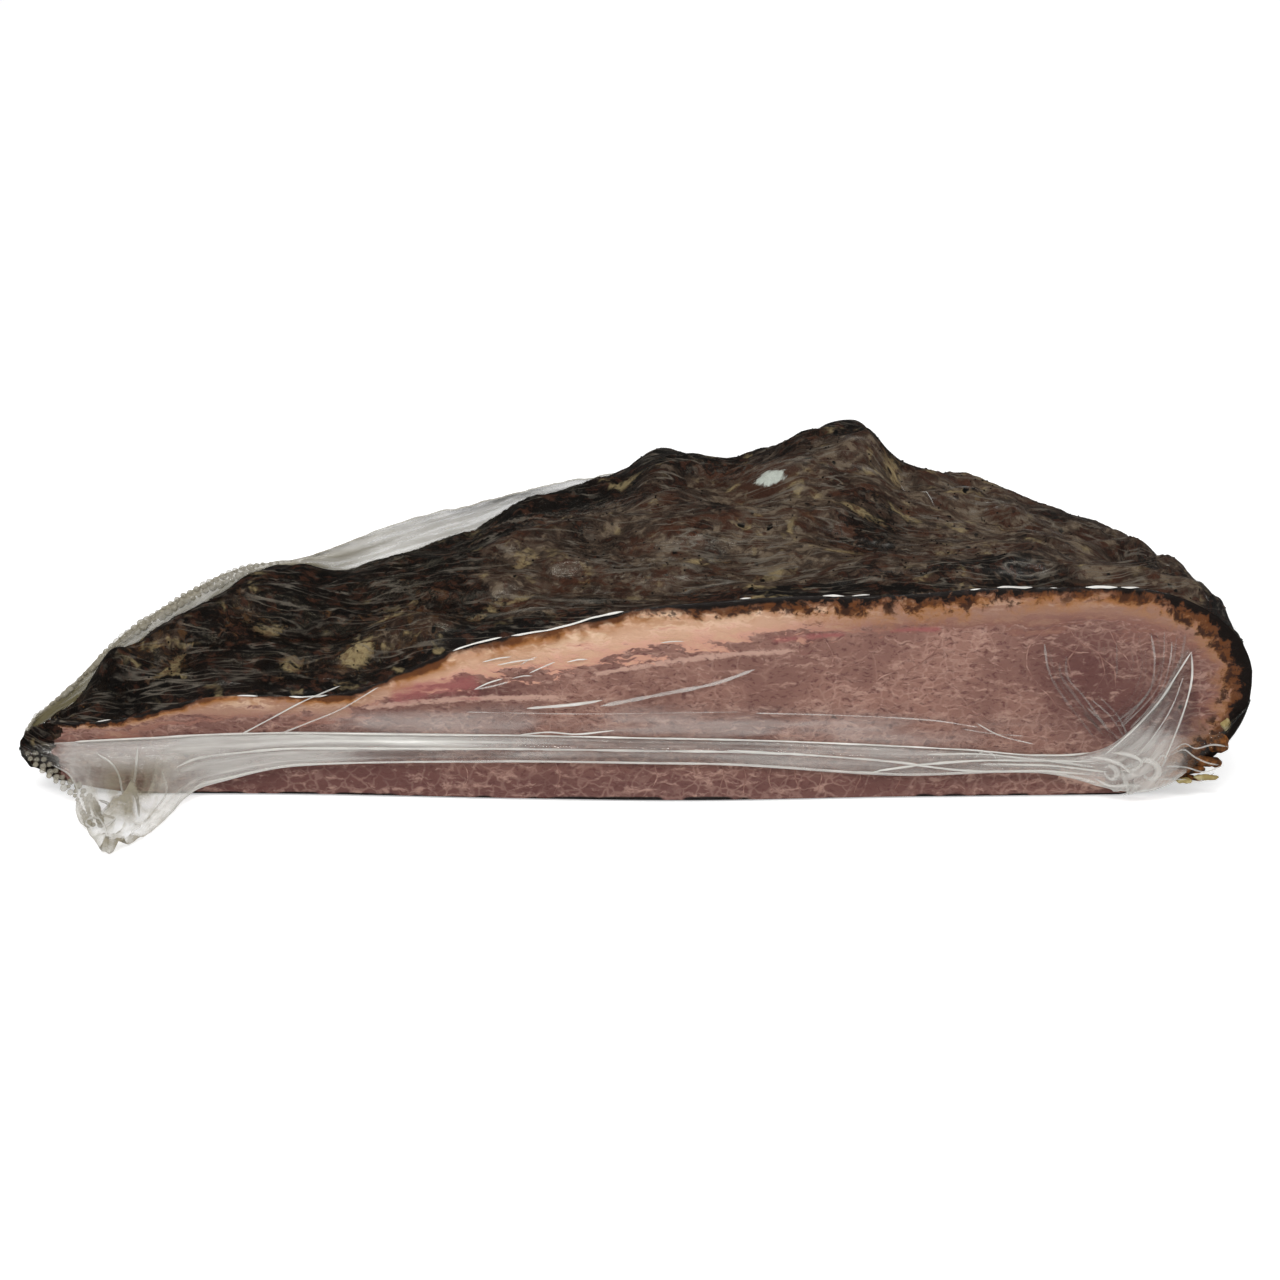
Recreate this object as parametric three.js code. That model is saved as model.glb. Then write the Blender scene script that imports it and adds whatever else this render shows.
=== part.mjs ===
// A smoked beef brisket, cut lengthwise, sealed in a clear vacuum bag. Millimetres, +Z up.
// X runs along the brisket, from the thin tip (-X) to the thick end (+X), and the cut face looks to -Y.
// The origin is on the flat underside. The bag clings to the meat, so the two are one lofted solid. Each
// section of it carries the film's free edges as two thin fins: the seam that stands behind the bark, and
// the fold that hangs over the foot of the cut face. The fold spreads over the ground as the bag's corner
// near the tip, and is gathered up near the thick end.
import * as THREE from "three";

// ---- Driving sizes -------------------------------------------------------------------------------------
const TIP_X = -216; // thin end of the meat
const END_X = 211; // thick end of the meat
const CUT_Y = -70; // plane of the knife cut
const STATIONS = 92; // sections along the brisket
const TIP_ROUND = 14; // length over which the tip closes
const END_ROUND = 50; // length over which the thick end closes
const TIP_MID_Z = 17; // height on which the tip closes
const END_MID_Z = 41; // height on which the thick end closes
const END_BULGE = 4.5; // how far the thick end swells past the cut face
const END_BULGE_FROM = 110; // where that swelling starts
const END_BULGE_DEPTH = 62; // how far behind the cut it is greatest

// Profiles along X, as [x, value] rows; each is a smooth curve through its rows.
const CUT_TOP = smooth([
  [-213, 27.5], [-181, 28.4], [-150, 36.5], [-101, 38.5], [-62, 54.5], [-7, 66], [45, 70], [80, 71],
  [120, 76.5], [209, 77],
]); // top edge of the cut face
const FOOT_Z = smooth([
  [-213, 9], [-203, 6], [-189, 2.5], [-165, 0], [209, 0],
]); // lower edge of the cut face, which lifts off at the tip
const FOOT_KICK = smooth([
  [-213, 0], [-120, 0.5], [-40, 4.5], [20, 6], [90, 3], [209, 0],
]); // how far that edge comes forward of the cut
const CREST_Z = smooth([
  [-213, 29], [-185, 40.5], [-145, 57.5], [-95, 64.5], [-45, 81], [5, 91.5], [55, 94.5], [100, 87.5],
  [135, 84], [158, 78.5], [174, 74], [190, 79], [211, 81],
]); // highest line of the bark
const CREST_DEPTH = smooth([
  [-213, 10], [-190, 20], [-150, 42], [-100, 60], [-40, 74], [30, 86], [75, 92], [120, 86], [165, 64],
  [209, 26],
]); // how far behind the cut that line lies
const BACK_DEPTH = smooth([
  [-213, 22], [-190, 40], [-160, 64], [-120, 92], [-60, 122], [0, 142], [60, 152], [120, 150], [165, 134],
  [209, 84],
]); // how far back the meat reaches
const BACK_WIDEST = 0.36; // height of the widest point of the back, as a share of the crest
const UNDER_SQUARENESS = 2.2; // how square the thick end is below
const UNDER_ROLL = 26; // how far the back edge rolls in under itself
const SHOULDER = 1.7; // how full the bark's front shoulder is
const FRONT_EASE = 1.25; // how much closer together its points are near the cut
const KICK_HEIGHT = 20; // height over which the cut's foot comes forward
const BARK_EDGE = 9; // depth over which the bark's relief sets in behind the cut
const BACK_CALM = 0.5; // share of the relief that is lost down the back

// Lumps on the bark: where, how high, and how far they reach to the left, to the right and in depth.
const LUMPS = [
  { x: 82, depth: 98, height: 17.5, left: 34, right: 12, reach: 32 },
  { x: 9, depth: 84, height: 6, left: 13, right: 22, reach: 24 },
  { x: 108, depth: 84, height: 2, left: 10, right: 22, reach: 24 },
  { x: -60, depth: 30, height: 2.5, left: 24, right: 28, reach: 14 },
  { x: 60, depth: 34, height: 2.5, left: 40, right: 40, reach: 16 },
];
const FURROWS = 16; // waves that make up the furrowed bark
const FURROW_HEIGHT = 1.4; // height of the longest of them
const FURROW_LONG = 74; // spacing of the longest, across the brisket
const FURROW_SHORT = 16; // spacing of the shortest
const GOLDEN = 0.618034; // step that spreads the waves' directions and phases evenly

// The seam behind the bark, again along X.
const SEAM_ROOT = smooth([
  [-213, 0.35], [-150, 0.42], [-60, 0.46], [30, 0.58], [120, 0.72], [209, 0.72],
]); // how far down the back it starts: 0 at the crest, 1 at the widest point
const SEAM_Z = smooth([
  [-213, 22], [-200, 32], [-186, 44.5], [-150, 60.5], [-125, 61.5], [-89, 71.5], [-34, 81], [20, 80],
  [90, 61], [160, 53], [209, 45],
]); // height of its free edge
const SEAM_DEPTH = smooth([
  [-213, 22], [-200, 35], [-150, 68], [-100, 90], [-37, 108], [50, 152], [90, 164], [160, 148],
  [190, 122], [209, 84],
]); // how far behind the cut that edge lies

// The fold over the foot of the cut face.
const FOLD_TOP = smooth([
  [-213, 19], [-150, 23], [-118, 23.8], [21, 21.2], [111, 17.5], [139, 15.2], [160, 17], [172, 24],
  [186, 48], [196, 36], [209, 38],
]); // where it leaves the cut face
const FOLD_FOOT = smooth([
  [-213, 15], [-203, 12], [-195, 7.5], [-188, 2.2], [-174, 1], [-160, 1.6], [-150, 5], [-118, 12],
  [21, 12.2], [90, 8.4], [139, 9.6], [170, 4], [190, 11], [209, 32],
]); // height of its free edge
const FOLD_FORWARD = 2.4; // how far in front of the cut that edge hangs
const CORNER = { x: -176, width: 14, forward: 50 }; // the bag's corner, spread over the ground
const GATHER = { x: 176, width: 12, forward: 6, stand: 8, thickness: 4 }; // the bunched film
const FOLD_STAND = 3; // how far the fold bows out from the cut face
const CORNER_STAND = 5; // how much further it does so at the corner

const FILM = 1; // thickness of the doubled film
const FILM_EDGE = 0.6; // its thickness at the free edge, as a share of that
const FIN_BOW = 0.25; // how far the seam bows out, as a share of its length
const FIN_STEPS = 4; // steps from a fin's root to its edge

// Points round one section, by stretch. The two fins stand where one stretch meets the next.
const RING = { cutBelow: 3, cutAbove: 5, front: 12, backAbove: 6, backBelow: 8, roll: 3, under: 5 };
const FOLD_AT = RING.cutBelow;
const SEAM_AT = RING.cutBelow + RING.cutAbove + RING.front + RING.backAbove;

// ---- Small helpers -------------------------------------------------------------------------------------
/** A smooth curve through [x, value] rows, level beyond its two ends. */
function smooth(rows) {
  const last = rows.length - 1;
  const slope = (i) => {
    const a = rows[Math.max(i - 1, 0)];
    const b = rows[Math.min(i + 1, last)];
    return (b[1] - a[1]) / (b[0] - a[0]);
  };
  return (at) => {
    const x = THREE.MathUtils.clamp(at, rows[0][0], rows[last][0]);
    let i = 0;
    while (i < last - 1 && x >= rows[i + 1][0]) i += 1;
    const span = rows[i + 1][0] - rows[i][0];
    const t = (x - rows[i][0]) / span;
    const [t2, t3] = [t * t, t * t * t];
    return (
      (2 * t3 - 3 * t2 + 1) * rows[i][1] +
      (t3 - 2 * t2 + t) * span * slope(i) +
      (3 * t2 - 2 * t3) * rows[i + 1][1] +
      (t3 - t2) * span * slope(i + 1)
    );
  };
}

/** count points of a stretch, from its start up to but not including its end. */
function stretch(count, pointAt) {
  return Array.from({ length: count }, (_, i) => pointAt(i / count));
}

/** 1 along most of the brisket, falling to 0 at either end; a squareness of 2 is a quarter circle. */
function fullness(x, squareness = 2) {
  const toTip = THREE.MathUtils.clamp((TIP_X + TIP_ROUND - x) / TIP_ROUND, 0, 1);
  const toEnd = THREE.MathUtils.clamp((x - END_X + END_ROUND) / END_ROUND, 0, 1);
  return Math.pow((1 - Math.pow(toTip, squareness)) * (1 - Math.pow(toEnd, squareness)), 1 / squareness);
}

/** 1 where x is at the spot's own x, falling off over its width. */
function nearness(x, spot) {
  return Math.exp(-(((x - spot.x) / spot.width) ** 2));
}

// ---- The meat ------------------------------------------------------------------------------------------
/** The bark's waves: how far it stands out at x and at the length q round the section. */
function furrow(x, q) {
  let height = 0;
  for (let i = 0; i < FURROWS; i += 1) {
    const share = i / (FURROWS - 1);
    const spacing = FURROW_LONG * Math.pow(FURROW_SHORT / FURROW_LONG, share);
    const lean = 0.55 * (2 * ((i * GOLDEN) % 1) - 1);
    const phase = 2 * Math.PI * ((i * i * GOLDEN) % 1);
    const across = (2 * Math.PI * (q * Math.cos(lean) + x * Math.sin(lean))) / spacing;
    const drift = 0.9 * Math.sin((2 * Math.PI * x) / (3.1 * spacing) + 3 * phase);
    height += FURROW_HEIGHT * Math.pow(spacing / FURROW_LONG, 0.7) * Math.sin(across + phase + drift);
  }
  return height;
}

/** The height that the lumps add to the bark at x and at a depth behind the cut. */
function lumps(x, depth) {
  let height = 0;
  for (const lump of LUMPS) {
    const along = (x - lump.x) / (x < lump.x ? lump.left : lump.right);
    const across = (depth - lump.depth) / lump.reach;
    height += lump.height * Math.exp(-along * along - across * across);
  }
  return height;
}

/** The meat's smooth outline at x: { depth, z, bark } points from the foot of the cut face up and round. */
function outline(x) {
  const full = fullness(x);
  const middle = x < 0 ? TIP_MID_Z : END_MID_Z;
  const close = (z) => middle + (z - middle) * full;
  const foot = middle + (FOOT_Z(x) - middle) * fullness(x, UNDER_SQUARENESS);
  const top = close(CUT_TOP(x));
  const crest = close(CREST_Z(x));
  const width = BACK_DEPTH(x) * Math.sqrt(full);
  const crestDepth = CREST_DEPTH(x) * Math.sqrt(full);
  const widest = foot + (crest - foot) * BACK_WIDEST;
  const roll = Math.min(UNDER_ROLL, 0.3 * width);
  const foldRoot = THREE.MathUtils.clamp(FOLD_TOP(x), foot + 2, top - 2);
  const seamRoot = SEAM_ROOT(x);

  const cut = (z) => {
    const kick = FOOT_KICK(x) * Math.max(0, 1 - (z - foot) / KICK_HEIGHT) ** 2;
    return { depth: -kick * full, z, bark: 0 };
  };
  const front = (share) => {
    const eased = Math.pow(share, FRONT_EASE);
    const depth = crestDepth * eased;
    const z = top + (crest - top) * (1 - Math.pow(1 - eased, SHOULDER));
    return { depth, z, bark: Math.min(1, depth / BARK_EDGE) };
  };
  const back = (share) => {
    const angle = (Math.PI / 2) * share;
    const depth = crestDepth + (width - crestDepth) * Math.sin(angle);
    return { depth, z: widest + (crest - widest) * Math.cos(angle), bark: 1 - BACK_CALM * share };
  };
  const rolled = (share) => {
    const angle = (Math.PI / 2) * share;
    const depth = width - roll * (1 - Math.cos(angle));
    const z = widest - (widest - foot) * Math.sin(angle);
    return { depth, z, bark: (1 - BACK_CALM) * (1 - share) };
  };
  const start = cut(foot).depth;
  const under = (share) => ({ depth: start + (width - roll - start) * (1 - share), z: foot, bark: 0 });
  return [
    ...stretch(RING.cutBelow, (share) => cut(foot + (foldRoot - foot) * share)),
    ...stretch(RING.cutAbove, (share) => cut(foldRoot + (top - foldRoot) * share)),
    ...stretch(RING.front, front),
    ...stretch(RING.backAbove, (share) => back(seamRoot * share)),
    ...stretch(RING.backBelow, (share) => back(seamRoot + (1 - seamRoot) * share)),
    ...stretch(RING.roll, rolled),
    ...stretch(RING.under, under),
  ];
}

/** The outline at x with the bark's furrows and lumps on it, as { depth, z } points. */
function meatRing(x) {
  const full = fullness(x);
  const ring = outline(x);
  let q = 0;
  return ring.map((point, i) => {
    const before = ring[(i + ring.length - 1) % ring.length];
    const after = ring[(i + 1) % ring.length];
    if (i > 0) q += Math.hypot(point.depth - before.depth, point.z - before.z);
    const run = Math.hypot(after.depth - before.depth, after.z - before.z);
    const out = point.bark * full * furrow(x, q);
    const lift = point.bark * full * lumps(x, point.depth);
    return {
      depth: point.depth + (out * (before.z - after.z)) / run,
      z: Math.max(point.z + (out * (after.depth - before.depth)) / run + lift, 0),
    };
  });
}

// ---- The film's fins -----------------------------------------------------------------------------------
/** A fin's outline: from its root along one side to its free edge, and back along the other side. */
function fin(root, bend, edge, thickness) {
  const curve = new THREE.QuadraticBezierCurve(
    new THREE.Vector2(root.depth, root.z),
    new THREE.Vector2(bend.depth, bend.z),
    new THREE.Vector2(edge.depth, edge.z),
  );
  const side = (v, sign) => {
    const middle = curve.getPoint(v);
    const along = curve.getTangent(v);
    const half = (sign * thickness * (1 + (FILM_EDGE - 1) * v)) / 2;
    return { depth: middle.x - along.y * half, z: middle.y + along.x * half };
  };
  const steps = Array.from({ length: FIN_STEPS + 1 }, (_, i) => i / FIN_STEPS);
  return [...steps.map((v) => side(v, 1)), ...steps.reverse().map((v) => side(v, -1))];
}

/** The seam at x: it leaves the back at root, square to it, and bows up to its free edge. */
function seamFin(x, before, root, after, size) {
  const edge = {
    depth: THREE.MathUtils.lerp(root.depth, SEAM_DEPTH(x), size),
    z: THREE.MathUtils.lerp(root.z, SEAM_Z(x), size),
  };
  const reach = Math.hypot(edge.depth - root.depth, edge.z - root.z);
  const run = Math.hypot(after.depth - before.depth, after.z - before.z);
  const bend = {
    depth: (root.depth + edge.depth) / 2 + (FIN_BOW * reach * (before.z - after.z)) / run,
    z: (root.z + edge.z) / 2 + (FIN_BOW * reach * (after.depth - before.depth)) / run,
  };
  return fin(root, bend, edge, FILM);
}

/** The fold at x: it leaves the cut face at root and hangs in front of it, or spreads as the corner. */
function foldFin(x, root, size) {
  const corner = nearness(x, CORNER);
  const gather = nearness(x, GATHER);
  const forward = FOLD_FORWARD + CORNER.forward * corner + GATHER.forward * gather;
  const edge = {
    depth: THREE.MathUtils.lerp(root.depth, -forward, size),
    z: THREE.MathUtils.lerp(root.z, FOLD_FOOT(x), size),
  };
  const stand = FOLD_STAND + GATHER.stand * gather + CORNER_STAND * corner;
  const droop = THREE.MathUtils.lerp(0.55, 0.12, corner);
  const bend = { depth: root.depth - stand * size, z: THREE.MathUtils.lerp(edge.z, root.z, droop) };
  return fin(root, bend, edge, FILM + GATHER.thickness * gather * size);
}

// ---- The whole solid -----------------------------------------------------------------------------------
/** Where a point of the section at x really lies along the brisket, since the thick end swells. */
function swollen(x, depth) {
  const along = THREE.MathUtils.clamp((x - END_BULGE_FROM) / (END_X - END_BULGE_FROM), 0, 1);
  const across = Math.sin((Math.PI / 2) * THREE.MathUtils.clamp(depth / END_BULGE_DEPTH, 0, 2));
  return x + END_BULGE * along * along * across;
}

/** One closed section at x: the meat's ring, with the fold and the seam in place of their root points. */
function section(x) {
  const ring = meatRing(x);
  const size = Math.min(1, 3 * fullness(x) ** 2);
  return [
    ...ring.slice(0, FOLD_AT),
    ...foldFin(x, ring[FOLD_AT], size),
    ...ring.slice(FOLD_AT + 1, SEAM_AT),
    ...seamFin(x, ring[SEAM_AT - 1], ring[SEAM_AT], ring[SEAM_AT + 1], size),
    ...ring.slice(SEAM_AT + 1),
  ].map((point) => new THREE.Vector3(swollen(x, point.depth), CUT_Y + point.depth, point.z));
}

/** Station i of n along the brisket, closer together towards the two ends. */
function stationX(i, n) {
  const share = i / n;
  const even = TIP_X + (END_X - TIP_X) * share;
  const eased = TIP_X + ((END_X - TIP_X) * (1 - Math.cos(Math.PI * share))) / 2;
  return 0.35 * even + 0.65 * eased;
}

/** Closes rings of points, all of one length, into one surface with a pole at either end. */
function loft(rings, firstPole, lastPole) {
  const count = rings[0].length;
  const positions = [...rings.flat(), firstPole, lastPole].flatMap((p) => p.toArray());
  const [first, last] = [rings.length * count, rings.length * count + 1];
  const faces = [];
  for (let j = 0; j < count; j += 1) {
    const k = (j + 1) % count;
    for (let i = 0; i + 1 < rings.length; i += 1) {
      const [a, b, c, d] = [i * count + j, i * count + k, (i + 1) * count + k, (i + 1) * count + j];
      faces.push(a, c, b, a, d, c);
    }
    const end = (rings.length - 1) * count;
    faces.push(first, j, k, last, end + k, end + j);
  }
  return new THREE.BufferGeometry()
    .setAttribute("position", new THREE.Float32BufferAttribute(positions, 3))
    .setIndex(faces);
}

const rings = Array.from({ length: STATIONS - 1 }, (_, i) => section(stationX(i + 1, STATIONS)));
const tip = new THREE.Vector3(TIP_X, CUT_Y + 1, TIP_MID_Z);
const end = new THREE.Vector3(END_X, CUT_Y + 1, END_MID_Z);

const filmedMeat = new THREE.MeshStandardMaterial({ color: 0x4a3a30, roughness: 0.25, metalness: 0 });
const baggedBrisket = new THREE.Mesh(loft(rings, tip, end), filmedMeat);
baggedBrisket.name = "bagged_brisket";

const part = new THREE.Group();
part.add(baggedBrisket);

export default part;
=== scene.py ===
"""A smoked beef brisket, cut lengthwise and sealed in its clear vacuum bag.

The form's sizes are in millimetres and are turned to metres as a mesh is made. X runs along the brisket,
from its thin tip to its thick end. The cut face looks to -Y, and a depth is counted from it towards +Y.
"""

import itertools
import logging
import math
from dataclasses import dataclass, field
from enum import Enum
from typing import ClassVar, Sequence

import bpy
import numpy as np
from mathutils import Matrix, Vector, kdtree


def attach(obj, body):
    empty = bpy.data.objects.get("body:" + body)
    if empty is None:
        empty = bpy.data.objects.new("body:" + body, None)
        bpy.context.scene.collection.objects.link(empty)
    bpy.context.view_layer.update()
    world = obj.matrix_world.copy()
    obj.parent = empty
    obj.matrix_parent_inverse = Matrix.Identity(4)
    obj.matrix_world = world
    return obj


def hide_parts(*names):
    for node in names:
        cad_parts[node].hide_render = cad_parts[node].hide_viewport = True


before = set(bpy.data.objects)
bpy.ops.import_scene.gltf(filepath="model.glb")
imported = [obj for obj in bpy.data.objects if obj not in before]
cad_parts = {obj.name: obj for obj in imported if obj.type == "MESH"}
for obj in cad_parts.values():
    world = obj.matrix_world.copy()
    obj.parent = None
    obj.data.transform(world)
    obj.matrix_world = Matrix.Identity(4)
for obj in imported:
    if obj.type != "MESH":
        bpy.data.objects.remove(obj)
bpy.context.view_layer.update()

LOG = logging.getLogger("brisket")
MM = 0.001
GOLDEN = 0.618034
CUT_Y = -70.0  # plane of the knife cut, in millimetres
LINE_STEP = 1.2  # millimetres between the points of a drawn crease
BODY = "root"
CAD_NODE = "bagged_brisket"

Array = np.ndarray
Object = bpy.types.Object
Material = bpy.types.Material
Tree = bpy.types.NodeTree
Socket = bpy.types.NodeSocket
Pair = tuple[float, float]
Rows = Sequence[Pair]
Place = tuple[float, float, float]
Colour = tuple[float, float, float]
Input = Socket | float | Sequence[float]
# A Line is a crease or a painted highlight strand.
Line = tuple[Array, float, float]  # a crease's path, radius and haze


# ---- Numbers and noise ----
def follow(rows: Rows, at: Array) -> Array:
    """Reads a smooth curve through rows.

    Args:
        rows: The curve's (place, value) pairs, in rising order of place.
        at: Places to read it at.

    Returns:
        The values there, level beyond the two ends.
    """
    places, values = np.array(rows, float).T
    last = len(places) - 1
    before = np.maximum(np.arange(last + 1) - 1, 0)
    after = np.minimum(np.arange(last + 1) + 1, last)
    slopes = (values[after] - values[before]) / (places[after] - places[before])
    x = np.clip(at, places[0], places[-1])
    i = np.clip(np.searchsorted(places, x, side="right") - 1, 0, last - 1)
    span = places[i + 1] - places[i]
    t = (x - places[i]) / span
    t2, t3 = t * t, t * t * t
    return (
        (2 * t3 - 3 * t2 + 1) * values[i]
        + (t3 - 2 * t2 + t) * span * slopes[i]
        + (3 * t2 - 2 * t3) * values[i + 1]
        + (t3 - t2) * span * slopes[i + 1]
    )


def ease(value: Array, low: float, high: float) -> Array:
    """Goes smoothly from 0 where value is low to 1 where it is high."""
    t = np.clip((value - low) / (high - low), 0, 1)
    return t * t * (3 - 2 * t)


def lattice(cell: Array, seed: int) -> Array:
    """Gives each (..., 3) whole-numbered cell a fixed value from -1 to 1."""
    mixed = cell[..., 0] * 73856093 ^ cell[..., 1] * 19349663 ^ cell[..., 2] * 83492791 ^ (seed * 26699)
    mixed = ((mixed ^ (mixed >> 13)) * 1274126177) & 0x7FFFFFFF
    mixed = ((mixed ^ (mixed >> 16)) * 73244475) & 0x7FFFFFFF
    return (mixed >> 8 & 0xFFFF) / 32767.5 - 1


def noise(points: Array, seed: int) -> Array:
    """Smooth noise.

    Args:
        points: (..., 3) places, in cells one unit wide.
        seed: Which noise it is.

    Returns:
        A value from -1 to 1 at each place.
    """
    cell = np.floor(points).astype(np.int64)
    part = points - cell
    fade = part**3 * (part * (part * 6 - 15) + 10)
    total = np.zeros(points.shape[:-1])
    for corner in itertools.product((0, 1), repeat=3):
        weight = np.prod(np.where(np.array(corner, bool), fade, 1 - fade), axis=-1)
        total += weight * lattice(cell + np.array(corner), seed)
    return total


def waves(u: Array, v: Array, size: tuple[float, float], seed: int, octaves: int = 3) -> Array:
    """Layered noise over a surface.

    Args:
        u: First coordinate.
        v: Second coordinate.
        size: Length of the largest cells along u and v.
        seed: Which noise it is.
        octaves: How many layers it has, each half the size and height of the one before.

    Returns:
        A value from about -1 to 1 at each place.
    """
    total = np.zeros(np.broadcast(u, v).shape)
    for octave in range(octaves):
        scale = 2.0**octave
        places = np.stack(np.broadcast_arrays(u * scale / size[0], v * scale / size[1], seed * 7.31), -1)
        total += noise(places, seed + octave) / scale
    return total


def ripples(at: Array, size: float, seed: int, octaves: int = 3) -> Array:
    """Layered noise along a line, with its other arguments as for waves."""
    return waves(at, 0 * at, (size, 1), seed, octaves)


def folds(u: Array, v: Array, size: tuple[float, float], seed: int, octaves: int = 2) -> Array:
    """Sharp crests, as film has where it is bunched: 1 on a crest, falling to 0 (arguments as for waves)."""
    return np.clip(1 - 2.2 * np.abs(waves(u, v, size, seed, octaves)), 0, 1) ** 1.5


def blurred(values: Array, times: int) -> Array:
    """Smooths an (S, N) field, whose second direction closes on itself."""
    for _ in range(times):
        values = (np.roll(values, 1, 1) + 2 * values + np.roll(values, -1, 1)) / 4
        padded = np.pad(values, ((1, 1), (0, 0)), mode="edge")
        values = (padded[:-2] + 2 * padded[1:-1] + padded[2:]) / 4
    return values


# ---- Meshes ----
def grid_faces(rows: int, columns: int, start: int = 0) -> Array:
    """Quads over a grid of points numbered row by row from start."""
    i, j = np.meshgrid(np.arange(rows - 1), np.arange(columns - 1), indexing="ij")
    a = (start + i * columns + j).ravel()
    return np.stack([a, a + columns, a + columns + 1, a + 1], -1)


def put_in(name: str, data: bpy.types.ID) -> Object:
    """Makes an object of its data and links it to the scene."""
    made = bpy.data.objects.new(name, data)
    bpy.context.scene.collection.objects.link(made)
    return made


def new_piece(name: str, points: Array, faces: list) -> Object:
    """Makes a smooth mesh object.

    Args:
        name: The piece's name.
        points: (n, 3) vertices, in millimetres.
        faces: Each face's vertex numbers.

    Returns:
        The object, at the origin, with its faces outwards.
    """
    mesh = bpy.data.meshes.new(name)
    mesh.from_pydata((points * MM).tolist(), [], faces)
    mesh.validate()
    mesh.shade_smooth()
    return put_in(name, mesh)


def closed_loft(name: str, rings: Array, first: Array, last: Array) -> Object:
    """Closes (S, N, 3) rings into one surface with a pole at either end.

    Args:
        name: The piece's name.
        rings: The rings' points, in millimetres, clockwise when seen from the first pole.
        first: Pole before the first ring.
        last: Pole after the last ring.

    Returns:
        The closed mesh object.
    """
    stations, count = rings.shape[:2]
    i, j = np.meshgrid(np.arange(stations - 1), np.arange(count), indexing="ij")
    k = (j + 1) % count
    quads = np.stack([i * count + j, (i + 1) * count + j, (i + 1) * count + k, i * count + k], -1)
    ring = np.arange(count)
    after = (ring + 1) % count
    end = (stations - 1) * count
    poles = [stations * count, stations * count + 1]
    fans = [[poles[0], a, b] for a, b in zip(ring.tolist(), after.tolist())]
    fans += [[poles[1], end + b, end + a] for a, b in zip(ring.tolist(), after.tolist())]
    points = np.concatenate([rings.reshape(-1, 3), [first], [last]])
    return new_piece(name, points, quads.reshape(-1, 4).tolist() + fans)


def lengths(path: Array) -> Array:
    """The length from the start of an (n, 3) path to each of its points."""
    return np.concatenate([[0], np.cumsum(np.linalg.norm(np.diff(path, axis=0), axis=1))])


def nearest(x: Array, places: Array) -> Array:
    """The number of the place that is nearest to each x."""
    return np.interp(x, places, np.arange(len(places))).round().astype(int)


def grid_normals(grid: Array) -> Array:
    """Unit normals of an (U, V, 3) grid of points."""
    normals = np.cross(np.gradient(grid, axis=0), np.gradient(grid, axis=1))
    return normals / np.maximum(np.linalg.norm(normals, axis=-1, keepdims=True), 1e-9)


def thin_sheet(name: str, grid: Array, thickness: Array | float) -> Object:
    """Makes a closed sheet with two walls round a grid.

    Args:
        name: The piece's name.
        grid: (U, V, 3) points half-way through the sheet, in millimetres.
        thickness: Its thickness, one value or one for each point.

    Returns:
        The closed mesh object. Its first U * V vertices are one wall, and the next ones the other.
    """
    rows, columns = grid.shape[:2]
    half = grid_normals(grid) * (np.broadcast_to(thickness, (rows, columns))[..., None] / 2)
    size = rows * columns
    front = grid_faces(rows, columns)
    back = grid_faces(rows, columns, size)[:, ::-1]
    number = np.arange(size).reshape(rows, columns)
    border = np.concatenate([number[:-1, 0], number[-1, :-1], number[:0:-1, -1], number[0, :0:-1]])
    after = np.roll(border, -1)
    rim = np.stack([border, border + size, after + size, after], -1)
    points = np.concatenate([(grid + half).reshape(-1, 3), (grid - half).reshape(-1, 3)])
    return new_piece(name, points, np.concatenate([front, back, rim]).tolist())


def mark(piece: Object, name: str, values: Array) -> None:
    """Stores values on a piece's vertices.

    Args:
        piece: The mesh object.
        name: The attribute's name.
        values: One number or one vector a vertex.
    """
    kind = "FLOAT_VECTOR" if values.ndim == 2 else "FLOAT"
    attribute = piece.data.attributes.new(name, kind, "POINT")
    attribute.data.foreach_set("vector" if values.ndim == 2 else "value", values.astype(np.float32).ravel())


def with_poles(field: Array) -> Array:
    """A loft's (S, N) or (S, N, 3) values as one list, with the two poles' values after them."""
    flat = field.reshape(-1, *field.shape[2:])
    return np.concatenate([flat, [field[0].mean(0)], [field[-1].mean(0)]])


# ---- Shader graphs ----
def linear(level: int) -> float:
    """A level from 0 to 255, as it shows on a screen, in linear light."""
    part = level / 255
    return part / 12.92 if part <= 0.04045 else ((part + 0.055) / 1.055) ** 2.4


def shade(red: int, green: int, blue: int) -> Colour:
    """A colour given as it shows on a screen, from 0 to 255, in linear light."""
    return linear(red), linear(green), linear(blue)


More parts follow.
